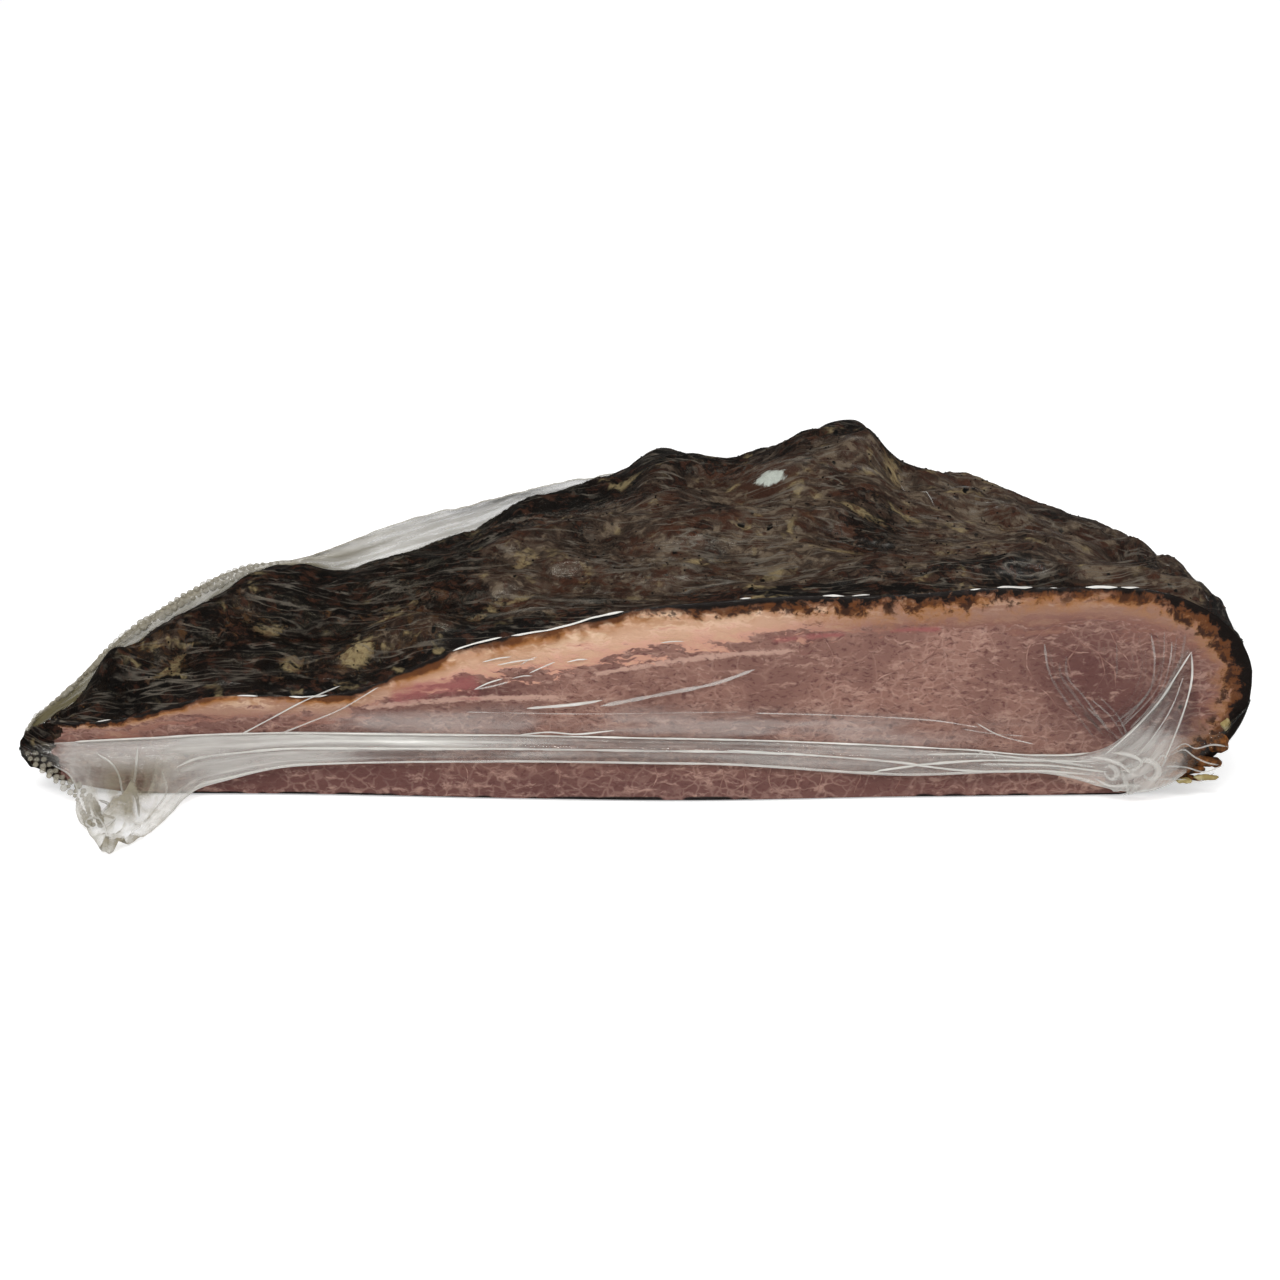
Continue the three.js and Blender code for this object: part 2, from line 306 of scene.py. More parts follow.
@dataclass
class Graph:
    """A node tree with short calls for the nodes that the finishes use."""

    tree: Tree

    def node(self, kind: str, values: dict | None = None, **settings: object) -> bpy.types.Node:
        """Adds a node, sets its properties and fills its inputs."""
        made = self.tree.nodes.new(kind)
        for key, setting in settings.items():
            setattr(made, key, setting)
        self.fill(made, values or {})
        return made

    def fill(self, node: bpy.types.Node, values: dict) -> None:
        """Feeds a node's inputs, each found by its name or its number."""
        for key, value in values.items():
            self.feed(node.inputs[key], value)

    def feed(self, socket: Socket, value: Input) -> None:
        """Links a socket to another, or sets it to a constant."""
        if isinstance(value, Socket):
            self.tree.links.new(value, socket)
        elif isinstance(value, (int, float)):
            socket.default_value = value
        else:
            size = len(socket.default_value)
            socket.default_value = (*value, 1.0)[:size] if len(value) < size else tuple(value)

    def maths(self, operation: str, a: Input, b: Input = 0.0, clamp: bool = False) -> Socket:
        """One Math node."""
        return self.node("ShaderNodeMath", {0: a, 1: b}, operation=operation, use_clamp=clamp).outputs[0]

    def product(self, *factors: Input) -> Input:
        """All the factors multiplied."""
        result = factors[0]
        for factor in factors[1:]:
            result = self.maths("MULTIPLY", result, factor)
        return result

    def total(self, *parts: Input) -> Input:
        """All the parts added up."""
        result = parts[0]
        for part in parts[1:]:
            result = self.maths("ADD", result, part)
        return result

    def less(self, value: Input, taken: Input) -> Socket:
        """The value with some taken off."""
        return self.maths("SUBTRACT", value, taken)

    def swing(self, noise_at: Input, height: Input) -> Input:
        """Noise from 0 to 1 turned to swing about 0, by half of height each way."""
        return self.product(self.less(noise_at, 0.5), height)

    def step(self, value: Input, low: float, high: float, to: Pair = (0, 1)) -> Socket:
        """Goes smoothly from to[0] where value is low to to[1] where it is high."""
        values = dict(enumerate((value, low, high, *to)))
        return self.node("ShaderNodeMapRange", values, interpolation_type="SMOOTHSTEP").outputs[0]

    def blend(self, share: Input, a: Input, b: Input) -> Socket:
        """Mixes two colours."""
        return self.node("ShaderNodeMix", {0: share, 6: a, 7: b}, data_type="RGBA").outputs[2]

    def coat(self, under: Input, paint: Input, *shares: Input) -> Socket:
        """Lays a colour over another, as thick as the shares' product."""
        return self.blend(self.product(*shares), under, paint)

    def coats(self, colour: Input, *layers: tuple) -> Input:
        """Lays colours over another, one after the other, each given with its shares as for coat."""
        for paint, *shares in layers:
            colour = self.coat(colour, paint, *shares)
        return colour

    def attribute(self, name: str, vector: bool = False) -> Socket:
        """Reads a vertex attribute."""
        made = self.node("ShaderNodeAttribute", attribute_name=name)
        return made.outputs["Vector" if vector else "Fac"]

    def stretch(self, vector: Input, scale: Sequence[float], turn: float = 0.0) -> Socket:
        """Scales a vector and turns it round Z, by an angle in radians."""
        values = {"Vector": vector, "Rotation": (0, 0, turn), "Scale": scale}
        return self.node("ShaderNodeMapping", values).outputs[0]

    def clouds(self, vector: Input, scale: Input, detail: float = 3, rough: float = 0.55) -> Input:
        """Noise from 0 to 1, with scale cells a metre."""
        values = {"Vector": vector, "Scale": scale, "Detail": detail, "Roughness": rough}
        return self.node("ShaderNodeTexNoise", values).outputs["Fac"]

    def warp(self, vector: Input, scale: float, amount: float) -> Socket:
        """Pushes a vector about by coloured noise, up to about amount each way."""
        noise_at = self.node("ShaderNodeTexNoise", {"Vector": vector, "Scale": scale})
        values = {0: noise_at.outputs["Color"], 1: (0.5, 0.5, 0.5)}
        centred = self.node("ShaderNodeVectorMath", values, operation="SUBTRACT")
        values = {0: centred.outputs[0], 1: (2 * amount,) * 3, 2: vector}
        return self.node("ShaderNodeVectorMath", values, operation="MULTIPLY_ADD").outputs[0]

    def cells(self, vector: Input, scale: float, edges: bool = False) -> Socket:
        """Distance to the nearest cell's point, or to its edge, in cells."""
        feature = "DISTANCE_TO_EDGE" if edges else "F1"
        values = {"Vector": vector, "Scale": scale}
        return self.node("ShaderNodeTexVoronoi", values, feature=feature).outputs["Distance"]

    def lines(self, tree: Tree, vector: Input, scale: float, length: float) -> Socket:
        """One of the Effects: its cells are length times longer than wide, with scale of them a metre."""
        values = {"Vector": vector, "Scale": scale, "Length": length}
        return self.node("ShaderNodeGroup", values, node_tree=tree).outputs["Mask"]

    def bump(self, height: Input, distance: float) -> Socket:
        """A Bump node, whose height of 1 stands out by distance's metres."""
        return self.node("ShaderNodeBump", {"Distance": distance, "Height": height}).outputs[0]


def new_group(name: str, kind: str, inputs: dict, outputs: dict) -> tuple[Graph, dict, dict]:
    """Starts a node group.

    Args:
        name: The group's name.
        kind: The kind of its node tree.
        inputs: Each input's name and its kind of socket.
        outputs: Each output's name and its kind of socket.

    Returns:
        Its graph, its input sockets by name, and the sockets that its outputs are linked to, by name.
    """
    tree = bpy.data.node_groups.new(name, kind)
    for way, sockets in (("INPUT", inputs), ("OUTPUT", outputs)):
        for key, socket in sockets.items():
            tree.interface.new_socket(key, in_out=way, socket_type=socket)
    graph = Graph(tree)
    start, end = graph.node("NodeGroupInput"), graph.node("NodeGroupOutput")
    return graph, {key: start.outputs[key] for key in inputs}, {key: end.inputs[key] for key in outputs}


def long_noise(name: str, detail: float) -> tuple[Graph, Socket, Socket]:
    """Starts a group round noise that is drawn out along a surface's first coordinate.

    Args:
        name: The group's name.
        detail: How much fine detail the noise has.

    Returns:
        Its graph, the noise from 0 to 1, and the socket of its one output, Mask. Its inputs are Vector,
        Scale and Length, which is how many times longer than wide the noise is.
    """
    number = "NodeSocketFloat"
    inputs = {"Vector": "NodeSocketVector", "Scale": number, "Length": number}
    graph, given, out = new_group(name, "ShaderNodeTree", inputs, {"Mask": number})
    squeeze = graph.node("ShaderNodeCombineXYZ", {0: graph.maths("DIVIDE", 1.0, given["Length"]), 1: 1, 2: 1})
    values = {0: given["Vector"], 1: squeeze.outputs[0]}
    scaled = graph.node("ShaderNodeVectorMath", values, operation="MULTIPLY")
    return graph, graph.clouds(scaled.outputs[0], given["Scale"], detail, 0.6), out["Mask"]


def streak_group() -> Tree:
    """Builds the group for fibres and smears that run along a surface."""
    graph, drawn, mask = long_noise("streaks", 3)
    graph.feed(mask, drawn)
    return graph.tree


def crease_group() -> Tree:
    """Builds the group for the thin, wavy lines that tight film draws along a surface."""
    graph, drawn, mask = long_noise("creases", 2)
    off = graph.maths("ABSOLUTE", graph.less(drawn, 0.5))
    graph.feed(mask, graph.step(off, 0.03, 0.0))
    return graph.tree


@dataclass(frozen=True)
class Effects:
    """The node groups for patterns that run along a surface."""

    streaks: Tree
    creases: Tree


@dataclass(frozen=True)
class Finish:
    """What every finish has: a material with a Principled shader to dress."""

    name: str

    def start(self) -> tuple[Material, Graph, bpy.types.Node]:
        """Makes the material, and gives its graph and its shader too."""
        material = bpy.data.materials.new(self.name)
        material.use_nodes = True
        graph = Graph(material.node_tree)
        shader = next(n for n in material.node_tree.nodes if n.type == "BSDF_PRINCIPLED")
        return material, graph, shader


@dataclass(frozen=True)
class BarkFinish(Finish):
    """The smoked crust: black and russet, streaked with taupe and flecked with cream fat, with the film's
    creases painted lighter as highlights.
    """

    soot: Colour = shade(6, 5, 4)
    brown: Colour = shade(31, 19, 12)
    russet: Colour = shade(74, 42, 26)
    amber: Colour = shade(84, 56, 28)
    taupe: Colour = shade(76, 61, 49)
    dun: Colour = shade(112, 97, 80)
    # Grey for the pale fibres, and for the painted highlight of the film's creases.
    fibre_and_glint_grey: Colour = shade(122, 114, 102)
    cream: Colour = shade(166, 147, 106)
    ring: Colour = shade(66, 38, 25)
    white: Colour = shade(196, 202, 192)

    fibre_cells: float = 330  # cells a metre of each pattern, finest last
    fleck_cells: float = 300
    hair_cells: float = 620
    crease_glint_cells: float = 210
    relief: float = 0.0017

    def material(self, effects: Effects) -> Material:
        """Builds the material. It reads the attributes grain, patch, spot, char and sheen."""
        made, g, shader = self.start()
        grain = g.warp(g.attribute("grain", vector=True), 15, 0.008)
        ragged = g.warp(grain, 170, 0.0026)
        zone = g.clouds(grain, 30, 2)
        fibres = g.lines(effects.streaks, ragged, self.fibre_cells, 2.3)
        flecks = g.clouds(g.stretch(ragged, (0.5, 1, 1)), self.fleck_cells, 5, 0.68)
        colour = self.crust(g, effects, ragged, zone, fibres, flecks)
        colour = self.fat_over(g, ragged, zone, flecks, colour)
        # Partly a painted highlight: the film's fine creases are laid lighter grey into the crust's colour,
        # as if they caught the light, and raised a little by the bump.
        creases = g.lines(effects.creases, grain, self.crease_glint_cells, 12)
        drawn = g.product(creases, g.step(g.clouds(grain, 52, 2), 0.38, 0.58))
        height = g.less(g.total(g.product(fibres, 0.5), g.product(drawn, 0.15)), g.product(flecks, 1.3))
        g.fill(shader, {
            "Base Color": g.coat(colour, self.fibre_and_glint_grey, drawn, 0.6),
            "Roughness": g.step(fibres, 0.3, 0.7, (0.62, 0.45)),
            "Specular IOR Level": 0.2,
            "Normal": g.bump(height, self.relief),
        })
        return made

    def crust(
        self, g: Graph, effects: Effects, ragged: Input, zone: Input, fibres: Input, flecks: Input
    ) -> Input:
        """The crust's own colour, from soot up to pale fibres.

        Args:
            g: The material's graph.
            effects: The node groups.
            ragged: Places on the bark, pushed about.
            zone: Wide light and dark areas.
            fibres: The fibres that run along the bark.
            flecks: The fine flecks.

        Returns:
            The colour.
        """
        # sheen is partly the crust's own tone and partly a painted sheen: it turns the bark taupe-grey and
        # lighter towards the thick end.
        sheen = g.attribute("sheen")
        light = g.less(g.swing(zone, 0.5), g.product(g.attribute("char"), 0.2))
        light = g.total(light, g.product(g.less(sheen, 0.62), 0.2))
        patchy = g.clouds(g.stretch(ragged, (0.4, 1, 1)), 75, 3)
        mottle = g.step(g.clouds(ragged, 300, 3, 0.6), 0.5, 0.6)
        lit = g.total(fibres, light)
        sooty = g.less(flecks, g.product(light, 1.4))
        hairs = g.lines(effects.streaks, ragged, self.hair_cells, 4.5)
        return g.coats(
            self.brown,
            (self.taupe, sheen, 0.5),
            (self.russet, g.step(patchy, 0.47, 0.6), 0.85),
            (self.amber, mottle, g.step(sheen, 0.7, 0.3), 0.7),
            (self.taupe, g.step(lit, 0.46, 0.56), g.step(sheen, 0.2, 0.7, (0.5, 0.85))),
            (self.dun, g.step(lit, 0.57, 0.68), 0.8),
            (self.soot, g.step(sooty, 0.47, 0.56), 0.9),
            (self.soot, g.step(hairs, 0.46, 0.36), 0.3),
            (self.fibre_and_glint_grey, g.step(hairs, 0.56, 0.68), 0.22),
        )

    def fat_over(self, g: Graph, ragged: Input, zone: Input, flecks: Input, colour: Input) -> Input:
        """The colour with the cream patches and specks, the pits and the pale spot laid over it."""
        torn = g.less(flecks, 0.5)
        fat = g.step(g.total(g.attribute("patch"), g.product(torn, 4)), 0.6, 1.25)
        specks = g.step(g.clouds(g.stretch(ragged, (0.6, 1, 1)), 200, 3), 0.56, 0.72)
        around = g.total(g.attribute("spot"), g.product(torn, 1.3))
        return g.coats(
            colour,
            (self.cream, fat, 0.75),
            (self.cream, specks, g.step(zone, 0.46, 0.58), 0.6),
            (self.soot, g.step(g.cells(ragged, 150), 0.2, 0.12), g.step(zone, 0.48, 0.56)),
            (self.ring, g.step(around, 0.02, 0.2), 0.85),
            (self.white, g.step(around, 0.56, 0.78)),
        )


@dataclass(frozen=True)
class CutFinish(Finish):
    """The knife cut: a burnt edge, a rendered orange rim, the fat cap, and grained lean with pale veins."""

    burnt: Colour = shade(22, 13, 9)
    brown: Colour = shade(84, 44, 18)
    orange: Colour = shade(158, 96, 36)
    tan: Colour = shade(162, 113, 67)
    pale: Colour = shade(234, 205, 176)
    cream: Colour = shade(205, 164, 136)
    rosy: Colour = shade(200, 144, 126)
    drab: Colour = shade(142, 104, 88)
    plum: Colour = shade(112, 68, 62)
    lean: Colour = shade(149, 110, 97)
    dark: Colour = shade(129, 92, 82)
    deep: Colour = shade(94, 57, 54)
    red: Colour = shade(158, 90, 88)
    vein: Colour = shade(194, 158, 142)
    speck: Colour = shade(42, 24, 18)

    grain_cells: float = 480  # cells a metre of each pattern
    fine_cells: float = 760
    bundle_cells: float = 280
    net_cells: float = 75
    layer_cells: float = 260
    relief: float = 0.0007

    def material(self, effects: Effects) -> Material:
        """Builds the material. It reads from_rim, rim, scorch, cap, cream, deep, red, vein, floor_edge."""
        made, g, shader = self.start()
        place = g.node("ShaderNodeTexCoord").outputs["Object"]
        upright = {"Vector": place, "Angle": -math.pi / 2}
        flat = g.node("ShaderNodeVectorRotate", upright, rotation_type="X_AXIS")
        face = g.warp(flat.outputs[0], 26, 0.003)
        ragged = g.warp(face, 220, 0.0018)
        grain = g.lines(effects.streaks, ragged, self.grain_cells, 3.2)
        fine = g.clouds(g.stretch(ragged, (0.5, 1, 1)), self.fine_cells, 3, 0.68)
        colour = self.flesh(g, face, ragged, grain, fine)
        colour = self.fat_over(g, ragged, colour)
        colour = self.rim_over(g, face, ragged, colour)
        # Darker along the foot of the cut, next to the floor, in the burnt colour.
        colour = g.coat(colour, self.burnt, g.step(g.attribute("floor_edge"), 0.45, 0.8))
        dots = g.product(g.step(g.cells(ragged, 80), 0.11, 0.06), g.step(g.clouds(face, 33, 1), 0.56, 0.62))
        height = g.total(g.product(grain, 0.8), g.product(fine, 0.6))
        g.fill(shader, {
            "Base Color": g.coat(colour, self.speck, dots),
            "Roughness": g.step(grain, 0.3, 0.7, (0.5, 0.36)),
            "Specular IOR Level": 0.3,
            "Subsurface Weight": 0.05,
            "Subsurface Radius": (1.0, 0.4, 0.25),
            "Subsurface Scale": 0.001,
            "Normal": g.bump(height, self.relief),
        })
        return made

    def flesh(self, g: Graph, face: Input, ragged: Input, grain: Input, fine: Input) -> Input:
        """The lean's colour.

        Args:
            g: The material's graph.
            face: Places on the cut.
            ragged: The same, pushed about more finely.
            grain: Streaks of the muscle's grain.
            fine: Fine noise.

        Returns:
            The colour, with its bundles of fibres, its net of pale seams and its drawn veins.
        """
        zone = g.clouds(face, 32, 3)
        colour = g.blend(g.step(zone, 0.34, 0.66), self.dark, self.lean)
        bundles = g.step(g.cells(g.stretch(ragged, (0.7, 1, 1)), self.bundle_cells, edges=True), 0.13, 0.0)
        net = g.step(g.cells(g.warp(face, 120, 0.003), self.net_cells, edges=True), 0.04, 0.0)
        drawn = g.total(g.attribute("vein"), g.swing(fine, 1.4))
        return g.coats(
            colour,
            (self.deep, g.attribute("deep"), 0.8),
            (self.vein, g.step(grain, 0.52, 0.7), 0.5),
            (self.deep, g.step(fine, 0.48, 0.35), 0.75),
            (self.vein, bundles, g.step(zone, 0.36, 0.6), 0.28),
            (self.vein, net, g.step(g.clouds(face, 48, 2), 0.5, 0.6), 0.2),
            (self.vein, g.step(drawn, 0.4, 0.85), 0.8),
        )

    def fat_over(self, g: Graph, ragged: Input, colour: Input) -> Input:
        """The colour with the layered fat cap, and the red streak under it, laid over it."""
        layers = g.clouds(g.stretch(ragged, (0.22, 1, 1), 0.16), self.layer_cells, 4, 0.66)
        torn = g.less(layers, 0.5)
        from_rim, cap, cream = g.attribute("from_rim"), g.attribute("cap"), g.attribute("cream")
        depth = g.less(g.total(from_rim, g.product(torn, 0.03)), cap)
        share = g.total(g.maths("DIVIDE", from_rim, cap), g.product(torn, 2.6))
        streaked = g.product(g.step(torn, -0.02, 0.12), g.step(cream, 0, 0.8, (0.35, 1)))
        fat = g.blend(streaked, g.blend(cream, self.drab, self.cream), self.pale)
        fat = g.coat(fat, g.blend(cream, self.plum, self.rosy), g.step(share, 0.5, 1.0), 0.8)
        blood = g.total(g.attribute("red"), g.product(torn, 2.2))
        return g.coats(
            colour, (fat, g.step(depth, 0.001, -0.001)), (self.red, g.step(blood, 0.3, 1.1), 0.75)
        )

    def rim_over(self, g: Graph, face: Input, ragged: Input, colour: Input) -> Input:
        """The colour with the rendered and burnt rim laid over it."""
        crusty = g.clouds(ragged, 240, 4, 0.7)
        scorch, rim = g.attribute("scorch"), g.attribute("rim")
        roughness = g.total(g.step(scorch, 0.1, 1.0, (0, 0.004)), g.step(rim, 0.0064, 0.009, (0.0015, 0.013)))
        jagged = g.product(g.less(crusty, 0.5), roughness)
        wavy = g.total(g.swing(g.clouds(face, 70, 2), 0.006), jagged, g.attribute("from_rim"))
        edge = g.maths("DIVIDE", wavy, rim)
        scorched = g.less(edge, g.product(scorch, 0.6))
        blotch = g.clouds(g.stretch(ragged, (0.7, 1, 1)), 135, 3, 0.6)
        browned = g.total(scorched, g.swing(blotch, 1.4))
        sooty = g.product(g.step(crusty, 0.52, 0.43), g.step(scorched, 0.65, 0.3), g.step(scorch, 0.1, 0.5))
        return g.coats(
            colour,
            (self.tan, g.step(edge, 1.5, 0.6), g.step(blotch, 0.62, 0.44), 0.75),
            (self.orange, g.step(edge, 1.0, 0.45), g.step(blotch, 0.6, 0.4, (0.3, 0.95))),
            (self.brown, g.step(browned, 0.5, 0.15), 0.85),
            (self.speck, sooty, 0.8),
            (self.burnt, g.step(scorched, 0.06, -0.12)),
        )


@dataclass(frozen=True)
class FilmFinish(Finish):
    """Clear film: a bare gleam where it lies flat, milky where it is creased, doubled or seen edge-on."""

    clear: float = 0.025
    milky: float = 0.8
    edge_on: float = 0.3
    roughness: float = 0.15
    crinkle: float = 0.0004

    def material(self, effects: Effects) -> Material:
        """Builds the material. It reads the attributes grain, haze and tint."""
        made, g, shader = self.start()
        grain = g.attribute("grain", vector=True)
        drawn = g.lines(effects.streaks, grain, 360, 9)
        haze = g.product(g.attribute("haze"), g.step(drawn, 0.35, 0.68, (0.8, 1.15)), self.milky)
        slant = g.node("ShaderNodeLayerWeight", {"Blend": 0.35}).outputs["Facing"]
        edge = g.product(slant, slant, self.edge_on)
        g.fill(shader, {
            "Base Color": g.attribute("tint", vector=True),
            "Metallic": g.step(haze, 0.0, 0.2, (1, 0)),
            "Roughness": self.roughness,
            "Specular IOR Level": 0.9,
            "Alpha": g.maths("ADD", g.total(haze, self.clear), edge, clamp=True),
            "Normal": g.bump(drawn, self.crinkle),
        })
        return made


@dataclass(frozen=True)
class CrumbFinish(Finish):
    """Burnt scraps: black-brown, with rendered orange and yellow where they are uneven."""

    dark: Colour = shade(22, 15, 11)
    light: Colour = shade(128, 88, 44)
    amber: float = 0.0

    def material(self, effects: Effects) -> Material:
        """Builds the material. It patterns by place alone."""
        made, g, shader = self.start()
        place = g.node("ShaderNodeTexCoord").outputs["Object"]
        mottle = g.clouds(place, 240, 4, 0.65)
        fibres = g.lines(effects.streaks, place, 700, 2)
        g.fill(shader, {
            "Base Color": g.blend(g.step(mottle, 0.62 - self.amber, 0.72), self.dark, self.light),
            "Roughness": 0.55,
            "Specular IOR Level": 0.2,
            "Normal": g.bump(fibres, 0.0005),
        })
        return made


# ---- Geometry Nodes ----
def new_tree(name: str, inputs: dict[str, str]) -> tuple[Graph, dict, Socket]:
    """Starts a Geometry Nodes tree.

    Args:
        name: The tree's name.
        inputs: Each further input's name and its kind of socket. The first input is always Geometry.

    Returns:
        Its graph, its input sockets by name, and the socket that its result is linked to.
    """
    shape = {"Geometry": "NodeSocketGeometry"}
    graph, given, out = new_group(name, "GeometryNodeTree", {**shape, **inputs}, shape)
    return graph, given, out["Geometry"]


def stored(graph: Graph, name: str, kind: str) -> Socket:
    """Reads a named attribute in a Geometry Nodes tree."""
    made = graph.node("GeometryNodeInputNamedAttribute", data_type=kind)
    made.inputs["Name"].default_value = name
    return made.outputs["Attribute"]


def dressed(graph: Graph, given: dict, made: Socket, out: Socket) -> None:
    """Ends a tree: its instances are made real, and its faces smooth, in the finish that it is given."""
    real = graph.node("GeometryNodeRealizeInstances", {"Geometry": made})
    smooth = graph.node("GeometryNodeSetShadeSmooth", {"Geometry": real.outputs[0]})
    values = {"Geometry": smooth.outputs[0], "Material": given["Finish"]}
    graph.feed(out, graph.node("GeometryNodeSetMaterial", values).outputs[0])


def strand_tree() -> Tree:
    """Builds the tree that turns lines into round strands. It reads the attribute girth."""
    graph, given, out = new_tree("strands", {"Sides": "NodeSocketInt", "Finish": "NodeSocketMaterial"})
    line = graph.node("GeometryNodeMeshToCurve", {"Mesh": given["Geometry"]})
    section = graph.node("GeometryNodeCurvePrimitiveCircle", {"Resolution": given["Sides"], "Radius": 1})
    tube = graph.node("GeometryNodeCurveToMesh", {
        "Curve": line.outputs["Curve"], "Profile Curve": section.outputs["Curve"],
        "Scale": stored(graph, "girth", "FLOAT"), "Fill Caps": True,
    })
    dressed(graph, given, tube.outputs["Mesh"], out)
    return graph.tree


LUMP_INPUTS = {
    "Segments": "NodeSocketInt", "Rings": "NodeSocketInt", "Uneven": "NodeSocketFloat",
    "Cells": "NodeSocketFloat", "Finish": "NodeSocketMaterial",
}


def lumps_on(graph: Graph, given: dict, points: Socket, size: Input, out: Input) -> Input:
    """Puts an uneven lump on every point.

    Args:
        graph: The tree's graph.
        given: The tree's inputs, LUMP_INPUTS among them.
        points: The points.
        size: Each lump's half-widths.
        out: The direction that each lump's third axis takes.

    Returns:
        The lumps.
    """
    sides = {key: given[key] for key in ("Segments", "Rings")}
    ball = graph.node("GeometryNodeMeshUVSphere", {**sides, "Radius": 1})
    turn = graph.node("FunctionNodeAlignRotationToVector", {"Vector": out}, axis="Z")
    put = graph.node("GeometryNodeInstanceOnPoints", {
        "Points": points, "Instance": ball.outputs["Mesh"], "Rotation": turn.outputs[0], "Scale": size,
    })
    real = graph.node("GeometryNodeRealizeInstances", {"Geometry": put.outputs[0]})
    place = graph.node("GeometryNodeInputPosition").outputs[0]
    swell = graph.swing(graph.clouds(place, given["Cells"], 2, 0.5), given["Uneven"])
    normal = graph.node("GeometryNodeInputNormal").outputs[0]
    push = graph.node("ShaderNodeVectorMath", {0: normal, "Scale": swell}, operation="SCALE")
    moved = graph.node("GeometryNodeSetPosition", {"Geometry": real.outputs[0], "Offset": push.outputs[0]})
    return moved.outputs[0]


def lump_tree() -> Tree:
    """Builds the tree that puts a lump on every vertex. It reads the attributes size and out."""
    graph, given, out = new_tree("lumps", LUMP_INPUTS)
    size, aim = stored(graph, "size", "FLOAT_VECTOR"), stored(graph, "out", "FLOAT_VECTOR")
    dressed(graph, given, lumps_on(graph, given, given["Geometry"], size, aim), out)
    return graph.tree


def scatter_tree() -> Tree:
    """Builds the tree that strews lumps over a surface, the more where its attribute crumbs is higher."""
    number = "NodeSocketFloat"
    extra = {"Density": number, "Seed": "NodeSocketInt", "Smallest": number, "Largest": number}
    graph, given, out = new_tree("strewn", {**LUMP_INPUTS, **extra})
    density = graph.product(stored(graph, "crumbs", "FLOAT"), given["Density"])
    strew = graph.node(
        "GeometryNodeDistributePointsOnFaces",
        {"Mesh": given["Geometry"], "Density": density, "Seed": given["Seed"]},
        distribute_method="RANDOM",
    )
    limits = {0: given["Smallest"], 1: given["Largest"], "Seed": given["Seed"]}
    size = graph.node("FunctionNodeRandomValue", limits, data_type="FLOAT_VECTOR")
    lumps = lumps_on(graph, given, strew.outputs["Points"], size.outputs[0], strew.outputs["Normal"])
    dressed(graph, given, lumps, out)
    return graph.tree


def grow(piece: Object, tree: Tree, **values: object) -> None:
    """Runs a tree on a piece and keeps what it makes as the piece's plain mesh.

    Args:
        piece: The piece whose mesh the tree starts from.
        tree: The Geometry Nodes tree.
        **values: The value of each of its inputs, by name.
    """
    modifier = piece.modifiers.new(tree.name, "NODES")
    modifier.node_group = tree
    for item in tree.interface.items_tree:
        if item.name in values and item.in_out == "INPUT":
            modifier[item.identifier] = values[item.name]
    seen = bpy.context.evaluated_depsgraph_get()
    mesh = bpy.data.meshes.new_from_object(piece.evaluated_get(seen), depsgraph=seen)
    piece.modifiers.clear()
    piece.data = mesh
    for i in reversed(range(len(mesh.materials))):
        if mesh.materials[i] is None:
            mesh.materials.pop(index=i)


def smooth_path(points: Sequence[Place] | Array, spacing: float) -> Array:
    """A smooth line through (n, 3) points, with a point about every spacing millimetres."""
    places = np.asarray(points, float)
    length = lengths(places)
    at = np.linspace(0, length[-1], max(5, round(length[-1] / spacing)))
    return np.stack([follow(list(zip(length, places[:, i])), at) for i in range(3)], -1)


# ---- The meat ----
class Stretch(Enum):
    """The stretches of a section, from the foot of the cut face up and round, with their points."""

    CUT = 52
    FRONT = 78
    BACK = 48
    ROLL = 6
    UNDER = 10

    @property
    def shares(self) -> Array:
        """Shares of the way along the stretch, one for each point, as one row."""
        return (np.arange(self.value) / self.value)[None]


@dataclass(frozen=True)
class Lump:
    """A swelling of the bark."""

    x: float
    depth: float
    height: float
    left: float
    right: float
    reach: float


@dataclass(frozen=True)
class Mark:
    """A patch on the bark or on the cut: where it is, how far it reaches, and its lean in degrees."""

    x: float
    depth: float  # the place across: a depth, a height or a share
    along: float
    across: float
    lean: float = 0.0
    power: float = 2.0  # 2 is an oval, and 1 a diamond

    def mask(self, x: Array, depth: Array) -> Array:
        """1 in its middle, falling off outwards."""
        turn = math.radians(self.lean)
        dx, dy = x - self.x, depth - self.depth
        u = (dx * math.cos(turn) + dy * math.sin(turn)) / self.along
        v = (dy * math.cos(turn) - dx * math.sin(turn)) / self.across
        return np.exp(-((np.abs(u) ** self.power + np.abs(v) ** self.power) ** (2 / self.power)))


@dataclass(frozen=True)
class Vein:
    """A line on the cut face from one (x, z) place to another, bowed sideways in its middle."""

    x0: float
    z0: float
    x1: float
    z1: float
    width: float
    bow: float = 0.0

    def mask(self, x: Array, z: Array) -> Array:
        """1 along its middle, falling off over its width and towards its ends."""
        length = math.hypot(self.x1 - self.x0, self.z1 - self.z0)
        ux, uz = (self.x1 - self.x0) / length, (self.z1 - self.z0) / length
        t = ((x - self.x0) * ux + (z - self.z0) * uz) / length
        side = (z - self.z0) * ux - (x - self.x0) * uz - self.bow * 4 * t * (1 - t)
        body = ease(t, -0.02, 0.12) * ease(t, 1.02, 0.85)
        return np.exp(-((side / self.width) ** 2)) * body


def covered(marks: Sequence[Mark | Vein], x: Array, across: Array) -> Array:
    """What the marks cover together: 1 in their middles, falling off to 0."""
    return np.clip(sum(m.mask(x, across) for m in marks), 0, 1)


